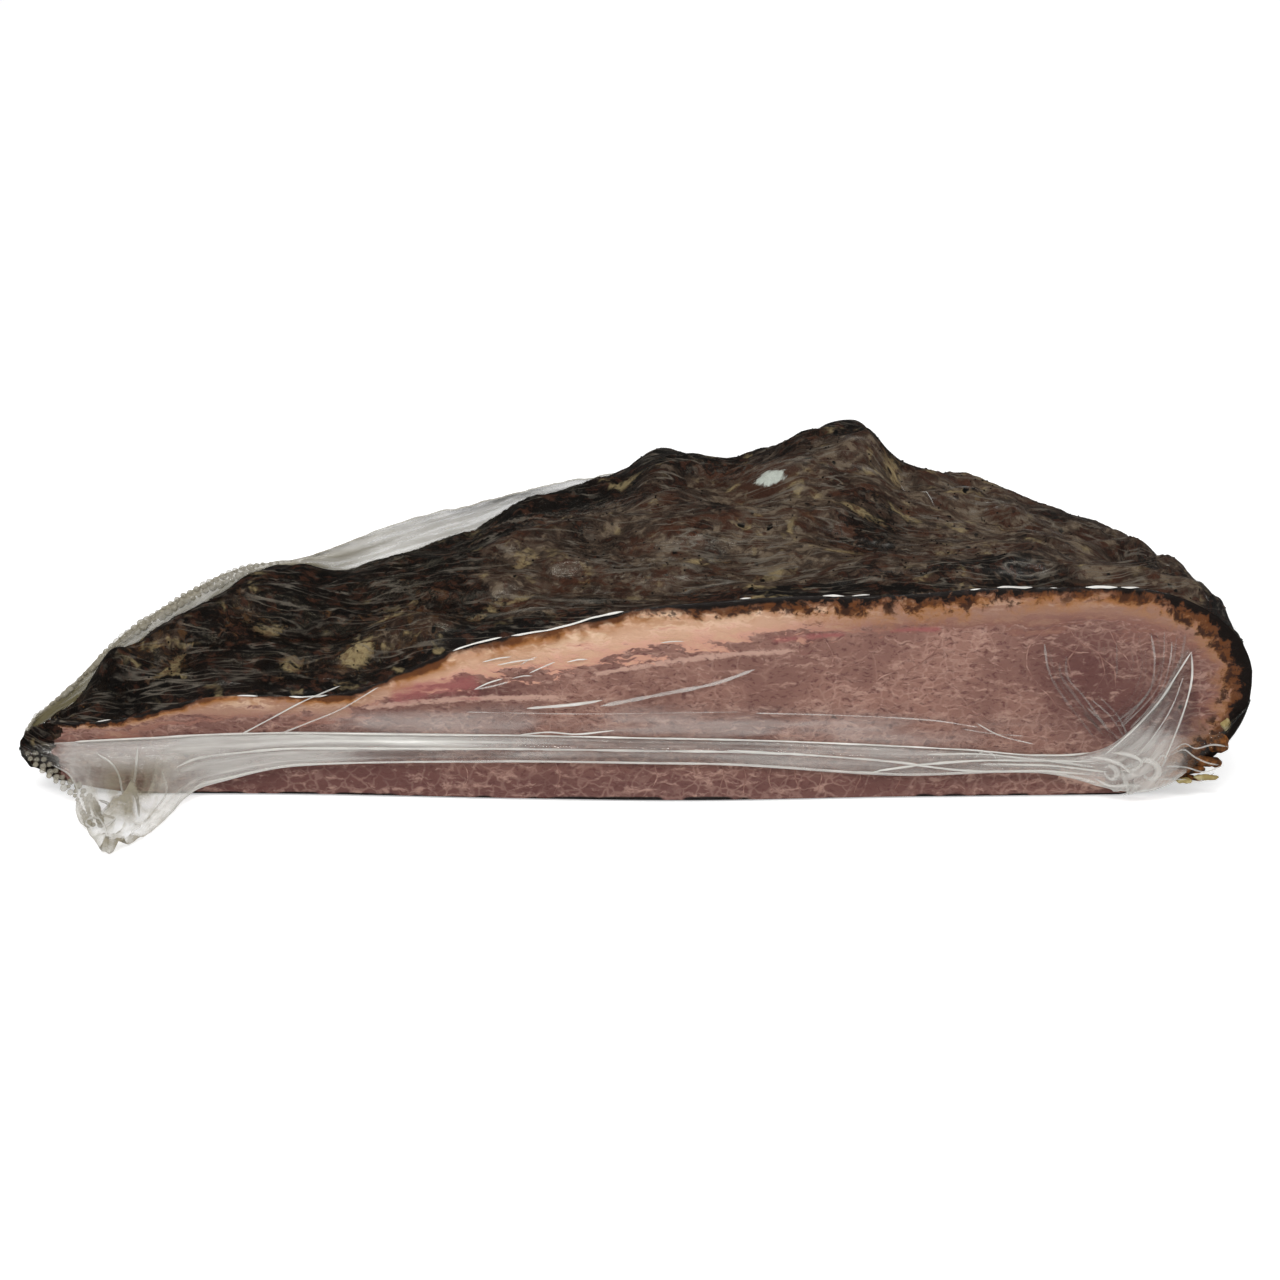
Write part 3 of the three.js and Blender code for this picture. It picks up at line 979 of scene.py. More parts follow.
@dataclass(frozen=True)
class Shell:
    """A form's (S, N) grid of points, and what the surface is like at each."""

    x: Array
    depth: Array
    z: Array
    out_depth: Array
    out_z: Array
    around: Array
    bark: Array
    full: Array

    @property
    def on_cut(self) -> Array:
        """Which of a section's points lie on the cut face, as one row."""
        return (np.arange(self.x.shape[1]) < Stretch.CUT.value)[None]

    def points(self, out: Array | float, lift: Array | float, least_z: float) -> Array:
        """The grid moved out along its normals and lifted, kept at least_z above the ground."""
        z = np.maximum(self.z + self.out_z * out + lift, least_z)
        return np.stack([self.x + 0 * z, CUT_Y + self.depth + self.out_depth * out, z], -1)


@dataclass(frozen=True)
class BrisketForm:
    """The brisket's form: profiles along X, as (x, value) rows in millimetres, and how a section is drawn."""

    tip_x: float = -216
    end_x: float = 211
    stations: int = 446
    tip_round: float = 14
    end_round: float = 50
    tip_middle_z: float = 17
    end_middle_z: float = 41
    end_bulge: float = 4.5
    end_bulge_from: float = 110
    end_bulge_depth: float = 62
    cut_top: Rows = (
        (-213, 27.5), (-181, 28.4), (-150, 36.5), (-101, 38.5), (-62, 54.5), (-30, 62), (0, 69), (30, 72),
        (55, 73.6), (76, 73.6), (95, 74.4), (120, 76.5), (209, 77),
    )
    foot_z: Rows = ((-213, 9), (-203, 6), (-189, 2.5), (-165, 0), (150, 0), (188, 1.6), (209, 4))
    foot_kick: Rows = ((-213, 0), (-120, 0.5), (-40, 4.5), (20, 6), (90, 3), (209, 0))
    crest_z: Rows = (
        (-213, 23), (-206, 25), (-199.5, 28.5), (-192.5, 34.5), (-186, 39.5), (-179, 42.5), (-165, 50.5),
        (-151, 60.5), (-138, 65.5), (-124, 64.3), (-115, 61.3), (-105, 61.8), (-95, 64), (-62, 72.6),
        (-45, 81), (-8, 87), (5, 91.5), (20, 91.8), (34, 91), (55, 94.5), (100, 87.5), (135, 83.4),
        (146, 79), (158, 75.4), (174, 73), (190, 77), (211, 73),
    )
    crest_depth: Rows = (
        (-213, 10), (-190, 20), (-150, 42), (-100, 60), (-40, 74), (30, 86), (75, 92), (120, 86), (165, 64),
        (209, 26),
    )
    back_depth: Rows = (
        (-213, 22), (-190, 40), (-160, 64), (-120, 92), (-60, 122), (0, 142), (60, 152), (120, 150),
        (165, 134), (209, 84),
    )
    back_widest: float = 0.36
    under_squareness: float = 2.2
    under_roll: float = 26
    shoulder: float = 1.7
    front_ease: float = 1.25
    kick_height: float = 20
    bark_edge: float = 9
    back_calm: float = 0.5
    lumps: Sequence[Lump] = (
        Lump(82, 98, 17.5, 34, 10.5, 32),
        Lump(9, 84, 6, 13, 22, 24),
        Lump(108, 84, 2, 10, 22, 24),
        Lump(-60, 30, 2.5, 24, 28, 14),
        Lump(60, 34, 2.5, 40, 40, 16),
    )
    furrows: int = 16
    furrow_height: float = 1.4
    furrow_long: float = 74
    furrow_short: float = 16

    def fullness(self, x: Array, squareness: float = 2) -> Array:
        """1 along most of the brisket, falling to 0 at either end; a squareness of 2 is a quarter circle."""
        to_tip = np.clip((self.tip_x + self.tip_round - x) / self.tip_round, 0, 1)
        to_end = np.clip((x - self.end_x + self.end_round) / self.end_round, 0, 1)
        return ((1 - to_tip**squareness) * (1 - to_end**squareness)) ** (1 / squareness)

    def station_x(self) -> Array:
        """Places of the sections, closer together towards the two ends."""
        share = np.arange(1, self.stations) / self.stations
        length = self.end_x - self.tip_x
        return self.tip_x + length * (0.6 * share + 0.4 * (1 - np.cos(np.pi * share)) / 2)

    def between(self, rows: Rows, x: Array, full: Array) -> Array:
        """A row of heights, drawn in to the middle of the tip and of the end by the fullness there."""
        middle = np.where(x < 0, self.tip_middle_z, self.end_middle_z)
        return middle + (follow(rows, x) - middle) * full

    def foot(self, x: Array) -> Array:
        """Height of the foot of the cut."""
        return self.between(self.foot_z, x, self.fullness(x, self.under_squareness))

    def kick(self, x: Array, z: Array) -> Array:
        """How far the foot of the cut is kicked out at a height."""
        falling = np.maximum(0, 1 - (z - self.foot(x)) / self.kick_height) ** 2
        return follow(self.foot_kick, x) * self.fullness(x) * falling

    def poles(self, out: float = 0.0) -> tuple[Array, Array]:
        """The points that close the form at its tip and at its end, moved out by some millimetres."""
        tip = np.array([self.tip_x - out, CUT_Y + 1, self.tip_middle_z])
        return tip, np.array([self.end_x + out, CUT_Y + 1, self.end_middle_z])

    def furrow(self, x: Array, around: Array) -> Array:
        """The bark's waves: how far it stands out at x and at a length round the section."""
        height = np.zeros_like(around)
        for i in range(self.furrows):
            share = i / (self.furrows - 1)
            spacing = self.furrow_long * (self.furrow_short / self.furrow_long) ** share
            lean = 0.55 * (2 * ((i * GOLDEN) % 1) - 1)
            phase = 2 * math.pi * ((i * i * GOLDEN) % 1)
            across = 2 * math.pi * (around * math.cos(lean) + x * math.sin(lean)) / spacing
            drift = 0.9 * np.sin(2 * math.pi * x / (3.1 * spacing) + 3 * phase)
            tall = self.furrow_height * (spacing / self.furrow_long) ** 0.7
            height += tall * np.sin(across + phase + drift)
        return height

    def lumpy(self, x: Array, depth: Array) -> Array:
        """The height that the lumps add to the bark."""
        height = np.zeros_like(depth)
        for lump in self.lumps:
            along = (x - lump.x) / np.where(x < lump.x, lump.left, lump.right)
            height += lump.height * np.exp(-(along**2) - ((depth - lump.depth) / lump.reach) ** 2)
        return height

    def outline(self, x: Array) -> tuple[Array, Array, Array]:
        """Draws the smooth sections.

        Args:
            x: (S, 1) places along the brisket.

        Returns:
            The sections' depths and heights and how much bark relief they take, each (S, N).
        """
        full = self.fullness(x)
        foot = self.foot(x)
        top = self.between(self.cut_top, x, full)
        crest = self.between(self.crest_z, x, full)
        width = follow(self.back_depth, x) * np.sqrt(full)
        crest_depth = follow(self.crest_depth, x) * np.sqrt(full)
        widest = foot + (crest - foot) * self.back_widest
        roll = np.minimum(self.under_roll, 0.3 * width)
        kick = self.kick(x, foot)
        cut_z = foot + (top - foot) * Stretch.CUT.shares
        cut = (-self.kick(x, cut_z), cut_z, 0 * cut_z)
        eased = Stretch.FRONT.shares**self.front_ease
        front_depth = crest_depth * eased
        front_z = top + (crest - top) * (1 - (1 - eased) ** self.shoulder)
        front = (front_depth, front_z, np.minimum(1, front_depth / self.bark_edge))
        share = Stretch.BACK.shares + 0 * x
        angle = math.pi / 2 * share
        back_depth = crest_depth + (width - crest_depth) * np.sin(angle)
        back = (back_depth, widest + (crest - widest) * np.cos(angle), 1 - self.back_calm * share)
        share = Stretch.ROLL.shares + 0 * x
        angle = math.pi / 2 * share
        roll_depth = width - roll * (1 - np.cos(angle))
        rolled = (roll_depth, widest - (widest - foot) * np.sin(angle), (1 - self.back_calm) * (1 - share))
        under_depth = -kick + (width - roll + kick) * (1 - Stretch.UNDER.shares)
        under = (under_depth, foot + 0 * under_depth, 0 * under_depth)
        depth, z, bark = (np.concatenate(parts, 1) for parts in zip(cut, front, back, rolled, under))
        return depth, z, bark

    def shell(self) -> Shell:
        """The smooth sections with their normals and the length round each."""
        x = self.station_x()[:, None]
        depth, z, bark = self.outline(x)
        step_depth = np.roll(depth, -1, 1) - np.roll(depth, 1, 1)
        step_z = np.roll(z, -1, 1) - np.roll(z, 1, 1)
        run = np.maximum(np.hypot(step_depth, step_z), 1e-6)
        pace = np.hypot(np.diff(depth, axis=1), np.diff(z, axis=1))
        around = np.concatenate([0 * x, np.cumsum(pace, 1)], 1)
        along = np.clip((x - self.end_bulge_from) / (self.end_x - self.end_bulge_from), 0, 1)
        swell = np.sin(np.pi / 2 * np.clip(depth / self.end_bulge_depth, 0, 2))
        swollen = x + self.end_bulge * along**2 * swell
        full = self.fullness(x) + 0 * depth
        return Shell(swollen, depth, z, -step_z / run, step_depth / run, around, bark, full)


@dataclass(frozen=True)
class Brisket:
    """The meat itself: bark, fat cap and cut face, as one closed mesh."""

    form: BrisketForm
    name: str = "brisket"
    clearance: float = 0.6  # height of the meat over the ground, for the film under it
    knob: float = 1.2  # height of the bark's middling swellings
    crag: float = 0.85  # height of its fine ridges
    pit: float = 0.6  # depth of its pits
    crumple: float = 1.6  # height of the puckers at the thin tip
    fat_stands: float = 0.5  # how far the fat cap stands out of the cut
    wrap_x: float = -202.5  # the bark wraps round the tip up to here
    cap_depth: Rows = (
        (-210, 3), (-185, 5), (-162, 5.5), (-144, 8), (-117, 8), (-84, 8), (-69, 9.5), (-58, 11),
        (-48, 12.5), (-20, 15.5), (7, 16.5), (35, 15.5), (62, 13), (91, 12), (108, 13), (129, 15),
        (149, 12.5), (168, 14), (187, 14), (205, 12),
    )
    rim_depth: Rows = (
        (-210, 1.5), (-150, 3), (-100, 3.6), (-60, 5.4), (-20, 6.2), (10, 6.3), (35, 6.4), (55, 8), (75, 9),
        (110, 9), (137, 7.5), (157, 7), (175, 8), (190, 10), (205, 12),
    )
    creamy: Rows = (
        (-213, 0.3), (-100, 0.42), (-66, 0.95), (-30, 1), (20, 1), (50, 0.75), (72, 0.4), (95, 0.15),
        (209, 0.12),
    )
    scorch: Rows = (
        (-213, 0.9), (-175, 0.4), (-130, 0.12), (-90, 0.2), (-60, 0.15), (-10, 0.2), (10, 0.45), (25, 0.65),
        (50, 0.5), (62, 0.45), (80, 0.4), (100, 0.4), (130, 0.42), (150, 0.36), (175, 0.42), (192, 0.6),
        (209, 0.75),
    )
    fat_patches: Sequence[Mark] = (
        Mark(-95, 13, 6, 4, 30), Mark(-101, 11, 5, 5, 30), Mark(-130.5, 23.6, 7, 4, 20),
        Mark(-40, 32, 7, 4, 25), Mark(-52, 15, 10, 3, 20), Mark(95, 54, 11, 3, -12), Mark(93, 80, 5, 7, -40),
        Mark(130, 95, 8, 5, -20), Mark(-122, 10, 6, 3, 30), Mark(60, 66, 3, 2), Mark(78, 48, 16, 3, -5),
        Mark(140, 40, 8, 4, -15), Mark(20, 22, 12, 3, 5), Mark(66, 26, 16, 3), Mark(42, 5, 4, 3),
        Mark(-88, 26, 9, 3, 20), Mark(-165, 14, 8, 3, 30),
    )
    charred: Sequence[Mark] = (
        Mark(-151, 5, 16, 6, 10), Mark(-125, 3, 16, 3), Mark(-40, 88, 70, 14, 12), Mark(7, 98, 26, 12),
        Mark(-214, 0, 9, 30), Mark(81, 96, 18, 10, -30), Mark(75, 2, 40, 3), Mark(-66, 3, 34, 4),
        Mark(20, 150, 160, 40), Mark(205, 20, 9, 60), Mark(-100, 62, 40, 14, 20), Mark(52, 3, 22, 3),
        Mark(112, 10, 16, 3.5), Mark(-60, 52, 22, 8, 20),
    )
    spot: Mark = Mark(47.2, 66.5, 8.0, 4.0, -14, power=1.6)
    red_lean: Sequence[Vein] = (
        Vein(-88, 37, -52, 40.5, 4.6, 1.5), Vein(44, 57.5, 72, 60, 1.2), Vein(84, 61, 104, 62, 1.2),
    )
    deep_lean: Sequence[Mark] = (
        Mark(156, 49, 20, 17, power=3), Mark(191, 34, 12, 19, 16, power=3), Mark(-10, 4, 240, 9, power=4),
        Mark(-58, 38, 22, 3, 8), Mark(176, 24, 26, 12),
    )
    veins: Sequence[Vein] = (
        Vein(-100, 32, -20, 36, 1.4, 2), Vein(-20, 44, 60, 54, 1.3, 2), Vein(145, 9, 164, 4, 3.5),
    )

    def relief(self, shell: Shell) -> tuple[Array, Array]:
        """How far the surface stands out of the smooth sections, and how far it is lifted."""
        x, around = shell.x, shell.around
        weight = shell.bark * shell.full
        knobs = self.knob * waves(x, around, (27, 15), 16, 2)
        crags = self.crag * (folds(x, around, (24, 5), 11) + 0.6 * waves(x, around, (9, 4), 12))
        pits = -self.pit * ease(waves(x, around, (7, 5), 13), 0.55, 0.85)
        bark = weight * (self.form.furrow(x, around) + knobs + crags + pits)
        lean = 0.3 * waves(x, shell.z, (22, 7), 14)
        cap = ease(self.from_rim(shell) - follow(self.cap_depth, x), 2, -2)
        cut = shell.on_cut * shell.full * (lean + self.fat_stands * cap)
        puckers = ease(x, -190, -206) * (folds(x, around, (8, 4), 17) - 0.4) * np.minimum(1, 2 * shell.full)
        return bark + cut + self.crumple * puckers, weight * self.form.lumpy(x, shell.depth)

    def surface(self, out: float) -> Array:
        """The meat's (S, N, 3) points, moved out by some millimetres."""
        shell = self.form.shell()
        stands, lift = self.relief(shell)
        return shell.points(stands + out, lift, self.clearance)

    def from_rim(self, shell: Shell) -> Array:
        """Distance of each point of the cut face from its upper and right-hand outline; 0 elsewhere."""
        top = Stretch.CUT.value
        edge = np.stack([shell.x[:, top], shell.z[:, top]], -1)
        low = np.stack([shell.x[:, 0], shell.z[:, 0]], -1)[shell.x[:, 0] > 190][::-1]
        line = np.concatenate([edge, [(self.form.end_x, self.form.end_middle_z)], low])
        number = np.linspace(0, len(line) - 1, 6 * len(line))
        dense = np.stack([np.interp(number, np.arange(len(line)), line[:, i]) for i in (0, 1)], -1)
        tree = kdtree.KDTree(len(dense))
        for i, (px, pz) in enumerate(dense.tolist()):
            tree.insert((px, 0, pz), i)
        tree.balance()
        distance = np.zeros(shell.x.shape)
        places = zip(shell.x[:, :top].ravel().tolist(), shell.z[:, :top].ravel().tolist())
        found = [tree.find((px, 0, pz))[2] for px, pz in places]
        distance[:, :top] = np.array(found).reshape(-1, top)
        return distance

    def build(self, bark: Material, cut: Material) -> Object:
        """Makes the mesh, marks it for its finishes and dresses it.

        Args:
            bark: Finish of the crust.
            cut: Finish of the cut face.

        Returns:
            The brisket.
        """
        shell = self.form.shell()
        out, lift = self.relief(shell)
        rings = shell.points(out, lift, self.clearance)
        piece = closed_loft(self.name, rings, *self.form.poles())
        piece.data.materials.append(bark)
        piece.data.materials.append(cut)
        self.dress(piece, shell, rings)
        return piece

    def along(self, rings: Array) -> Array:
        """Place along the meat in millimetres: x, but measured on the surface where the ends round off."""
        step = np.diff(rings, axis=0)
        spare = np.linalg.norm(step, axis=-1) - np.abs(step[..., 0])
        middle = 0.5 * (rings[1:, :, 0] + rings[:-1, :, 0])
        still = np.zeros((1, rings.shape[1]))
        right = np.concatenate([still, np.cumsum(spare * ease(middle, 150, 185), axis=0)])
        left = np.concatenate([still, np.cumsum((spare * ease(middle, -185, -200))[::-1], axis=0)])[::-1]
        return rings[..., 0] + right - left

    def dress(self, piece: Object, shell: Shell, rings: Array) -> None:
        """Marks the mesh with what its finishes read, and gives the cut face its own."""
        x, z, depth = shell.x, shell.z, shell.depth
        rows, count = x.shape
        patch = sum(m.mask(x, depth) for m in self.fat_patches) * (shell.bark > 0)
        crumbs = shell.bark * (0.25 + 0.75 * ease(waves(x, shell.around, (40, 24), 18), -0.1, 0.4))
        deep = sum(m.mask(x, z) for m in self.deep_lean) + 0.4 * ease(x, -60, -110)
        ragged_foot = ease(1.6 + 1.1 * waves(x, z, (11, 60), 15), 0.6, 2.0)
        marks = {
            "grain": np.stack([self.along(rings), shell.around, 0 * x], -1) * MM,
            "patch": patch,
            "char": covered(self.charred, x, depth),
            "spot": self.spot.mask(x, depth),
            # sheen runs from the warm brown tip to taupe-grey towards the thick end: partly the crust's own
            # tone, partly a painted sheen.
            "sheen": 0.25 + 0.6 * ease(x, -130, 20),
            "from_rim": self.from_rim(shell) * MM,
            "rim": follow(self.rim_depth, x) * MM,
            "scorch": follow(self.scorch, x),
            "cap": follow(self.cap_depth, x) * MM,
            "cream": follow(self.creamy, x),
            "crumbs": crumbs,
            "red": covered(self.red_lean, x, z),
            "deep": np.clip(deep, 0, 1),
            "vein": covered(self.veins, x, z),
            "floor_edge": ease(z, 2.2, 0.7) * ragged_foot,
        }
        for name, values in marks.items():
            mark(piece, name, with_poles(values))
        index = np.zeros(len(piece.data.polygons), int)
        quads = np.arange((rows - 1) * count) % count < Stretch.CUT.value
        ragged_wrap = x[:-1] + 2.2 * waves(x[:-1], z[:-1], (9, 4), 19) > self.wrap_x
        index[: len(quads)][quads & ragged_wrap.ravel()] = 1
        piece.data.polygons.foreach_set("material_index", index)


# ---- The bag ----
class Tint(Enum):
    """Colours that the film takes on where it is milky."""

    MILK = shade(232, 230, 224)
    GREY = shade(182, 176, 160)
    OLIVE = shade(104, 96, 66)
    BEIGE = shade(160, 152, 132)


def dress_film(piece: Object, along: Array, haze: Array, tint: Array) -> None:
    """Marks a film piece with what its finish reads.

    Args:
        piece: The piece.
        along: (n, 3) places on the film, in millimetres along its creases and across them.
        haze: (n,) values from 0, clear, to 1.
        tint: (n, 3) colours.
    """
    mark(piece, "grain", along * MM)
    mark(piece, "haze", haze)
    mark(piece, "tint", tint)


def dress_walls(piece: Object, along: Array, haze: Array, tint: Array) -> None:
    """Marks both walls of a thin sheet alike, with grids of what dress_film takes as lists."""
    walls = [np.concatenate([v, v]) for v in (along.reshape(-1, 3), haze.ravel(), tint.reshape(-1, 3))]
    dress_film(piece, *walls)


def tints(share: Array, start: Tint, end: Tint) -> Array:
    """Mixes two tints by share: (...,) values in, (..., 3) colours out."""
    return np.array(start.value) + share[..., None] * (np.array(end.value) - np.array(start.value))


@dataclass(frozen=True)
class Skin:
    """The film where it clings to the meat: one closed envelope just outside it."""

    brisket: Brisket
    name: str = "bag_skin"
    gap: float = 0.35
    slack: float = 0.2
    veils: Sequence[Mark] = (
        Mark(40, 25.5, 82, 6.5, -2, power=5), Mark(-82, 27, 40, 4, 0, power=3),
    )
    creased: Sequence[Mark] = (
        Mark(-30, 12, 60, 14, 8), Mark(-85, 34, 26, 20, 20), Mark(30, 8, 50, 8), Mark(-30, 70, 40, 12, 20),
        Mark(60, 76, 40, 10), Mark(60, 30, 60, 6, 5), Mark(130, 60, 30, 14, -20),
    )
    wrinkle: float = 0.28  # height of its fine creases
    bridge: int = 2  # how widely it spans pits
    fine_haze: float = 0.03
    crease_haze: float = 0.2
    veil_haze: float = 0.3

    def build(self, film: Material) -> Object:
        """Makes the envelope, tight over ridges and bridging pits, and dresses it."""
        form = self.brisket.form
        shell = form.shell()
        out, lift = self.brisket.relief(shell)
        bridged = blurred(np.maximum(out, blurred(out, self.bridge)), self.bridge)
        x, around = shell.x, shell.around
        flow = around + 0.06 * x + 2.5 * waves(x, around, (60, 40), 22)
        fine = folds(x, flow, (46, 3.4), 21, 2)
        lift_off = self.gap + self.wrinkle * fine * (0.25 + 0.75 * shell.bark) * shell.full
        rings = shell.points(bridged + lift_off + self.slack * shell.bark, lift, 0.1)
        rings[..., 0] += self.gap * (1 - shell.full) * np.sign(x)
        piece = closed_loft(self.name, rings, *form.poles(self.gap))
        creased = covered(self.creased, x, shell.depth)
        haze = (self.fine_haze * fine**2 + self.crease_haze * creased * fine**3) * shell.bark
        cloudy = 0.6 + 0.6 * waves(x, 3 * shell.z, (26, 16), 23) + 0.3 * folds(x, shell.z, (60, 2.5), 24)
        veil = shell.on_cut * covered(self.veils, x, shell.z) * np.clip(cloudy, 0, 1)
        haze = haze + self.veil_haze * veil
        places = with_poles(np.stack([x, around, 0 * x], -1))
        warm = shell.bark * ease(x, 115, 45) * (0.7 + 0.3 * ease(x, -20, -90))
        dress_film(piece, places, with_poles(haze), with_poles(tints(warm, Tint.MILK, Tint.BEIGE)))
        piece.data.materials.append(film)
        return piece


def curve_points(root: Array, bend: Array, edge: Array, share: Array) -> Array:
    """Points of quadratic curves: (S, 3) ends and bend, (V,) shares from 0 to 1, and (S, V, 3) back."""
    t = share[None, :, None]
    return root[:, None] * (1 - t) ** 2 + 2 * bend[:, None] * t * (1 - t) + edge[:, None] * t * t


def at_column(values: Array, column: Array) -> Array:
    """Reads an (S, N) field at one column of each row, whole or part."""
    low = np.floor(column).astype(int)
    part = column - low
    row = np.arange(len(column))
    return values[row, low] * (1 - part) + values[row, low + 1] * part


@dataclass(frozen=True)
class Seam:
    """The bag's sealed edge, which stands up behind the bark along the whole back."""

    form: BrisketForm
    name: str = "bag_seam"
    rows: int = 18
    thickness: float = 0.5
    bow: float = 0.25  # how far it bows out, as a share of its width
    sway: float = 0.8
    crimp: float = 0.5
    root: Rows = ((-213, 0.35), (-150, 0.42), (-60, 0.46), (30, 0.58), (120, 0.72), (209, 0.72))
    edge_z: Rows = (
        (-213, 22), (-200, 32), (-186, 44.5), (-150, 60.5), (-125, 61.5), (-89, 71.5), (-34, 81), (20, 80),
        (90, 61), (160, 53), (209, 45),
    )
    edge_depth: Rows = (
        (-213, 22), (-200, 35), (-150, 68), (-100, 90), (-37, 108), (50, 152), (90, 164), (160, 148),
        (190, 122), (209, 84),
    )

    def grid(self) -> Array:
        """The middle of the sheet, from its root in the back to its free edge."""
        form = self.form
        x = form.station_x()
        shell = form.shell()
        back = Stretch.CUT.value + Stretch.FRONT.value + follow(self.root, x) * Stretch.BACK.value
        size = np.minimum(1, 3 * form.fullness(x) ** 2)
        root = np.stack([at_column(values, back) for values in (shell.x, shell.depth, shell.z)], -1)
        edge_depth = root[:, 1] + (follow(self.edge_depth, x) - root[:, 1]) * size
        edge_z = root[:, 2] + (follow(self.edge_z, x) - root[:, 2]) * size
        edge = np.stack([root[:, 0], edge_depth, edge_z], -1)
        reach = np.linalg.norm(edge - root, axis=1, keepdims=True)
        out = np.stack([0 * x, at_column(shell.out_depth, back), at_column(shell.out_z, back)], -1)
        bend = (root + edge) / 2 + self.bow * reach * out
        points = curve_points(root, bend, edge, np.linspace(0, 1, self.rows))
        points[..., 1] += CUT_Y
        return points

    def build(self, film: Material) -> Object:
        """Makes the sheet, with its lengthwise waves, and dresses it."""
        grid = self.grid()
        share = np.linspace(0, 1, self.rows)[None]
        along = grid[..., 0]
        sway = self.sway * share * waves(along, 9 * share, (34, 6), 31)
        crimp = self.crimp * ease(share, 0.55, 0.8) * waves(along, 9 * share, (5, 3), 32)
        normals = grid_normals(grid)
        grid = grid + normals * (sway + crimp)[..., None]
        piece = thin_sheet(self.name, grid, self.thickness)
        length = np.linalg.norm(grid - grid[:, :1], axis=-1)
        lines = folds(along, length, (80, 4), 33) + ease(share, 0.93, 1.0)
        to_tip = ease(along, -100, -128)
        haze = 0.5 + 0.35 * to_tip + 0.25 * lines + 0.2 * waves(along, length, (50, 9), 34)
        tint = tints(ease(share, 0.8, 0.35) + 0 * along, Tint.BEIGE, Tint.OLIVE) * to_tip[..., None]
        tint = tint + tints(0 * along, Tint.GREY, Tint.GREY) * (1 - to_tip[..., None])
        dress_walls(piece, np.stack([along, length, 0 * along], -1), haze, tint)
        piece.data.materials.append(film)
        return piece


@dataclass(frozen=True)
class Spot:
    """A place along the brisket and how widely it is felt."""

    x: float
    width: float

    def near(self, x: Array) -> Array:
        """1 at the place, falling off over its width."""
        return np.exp(-(((x - self.x) / self.width) ** 2))


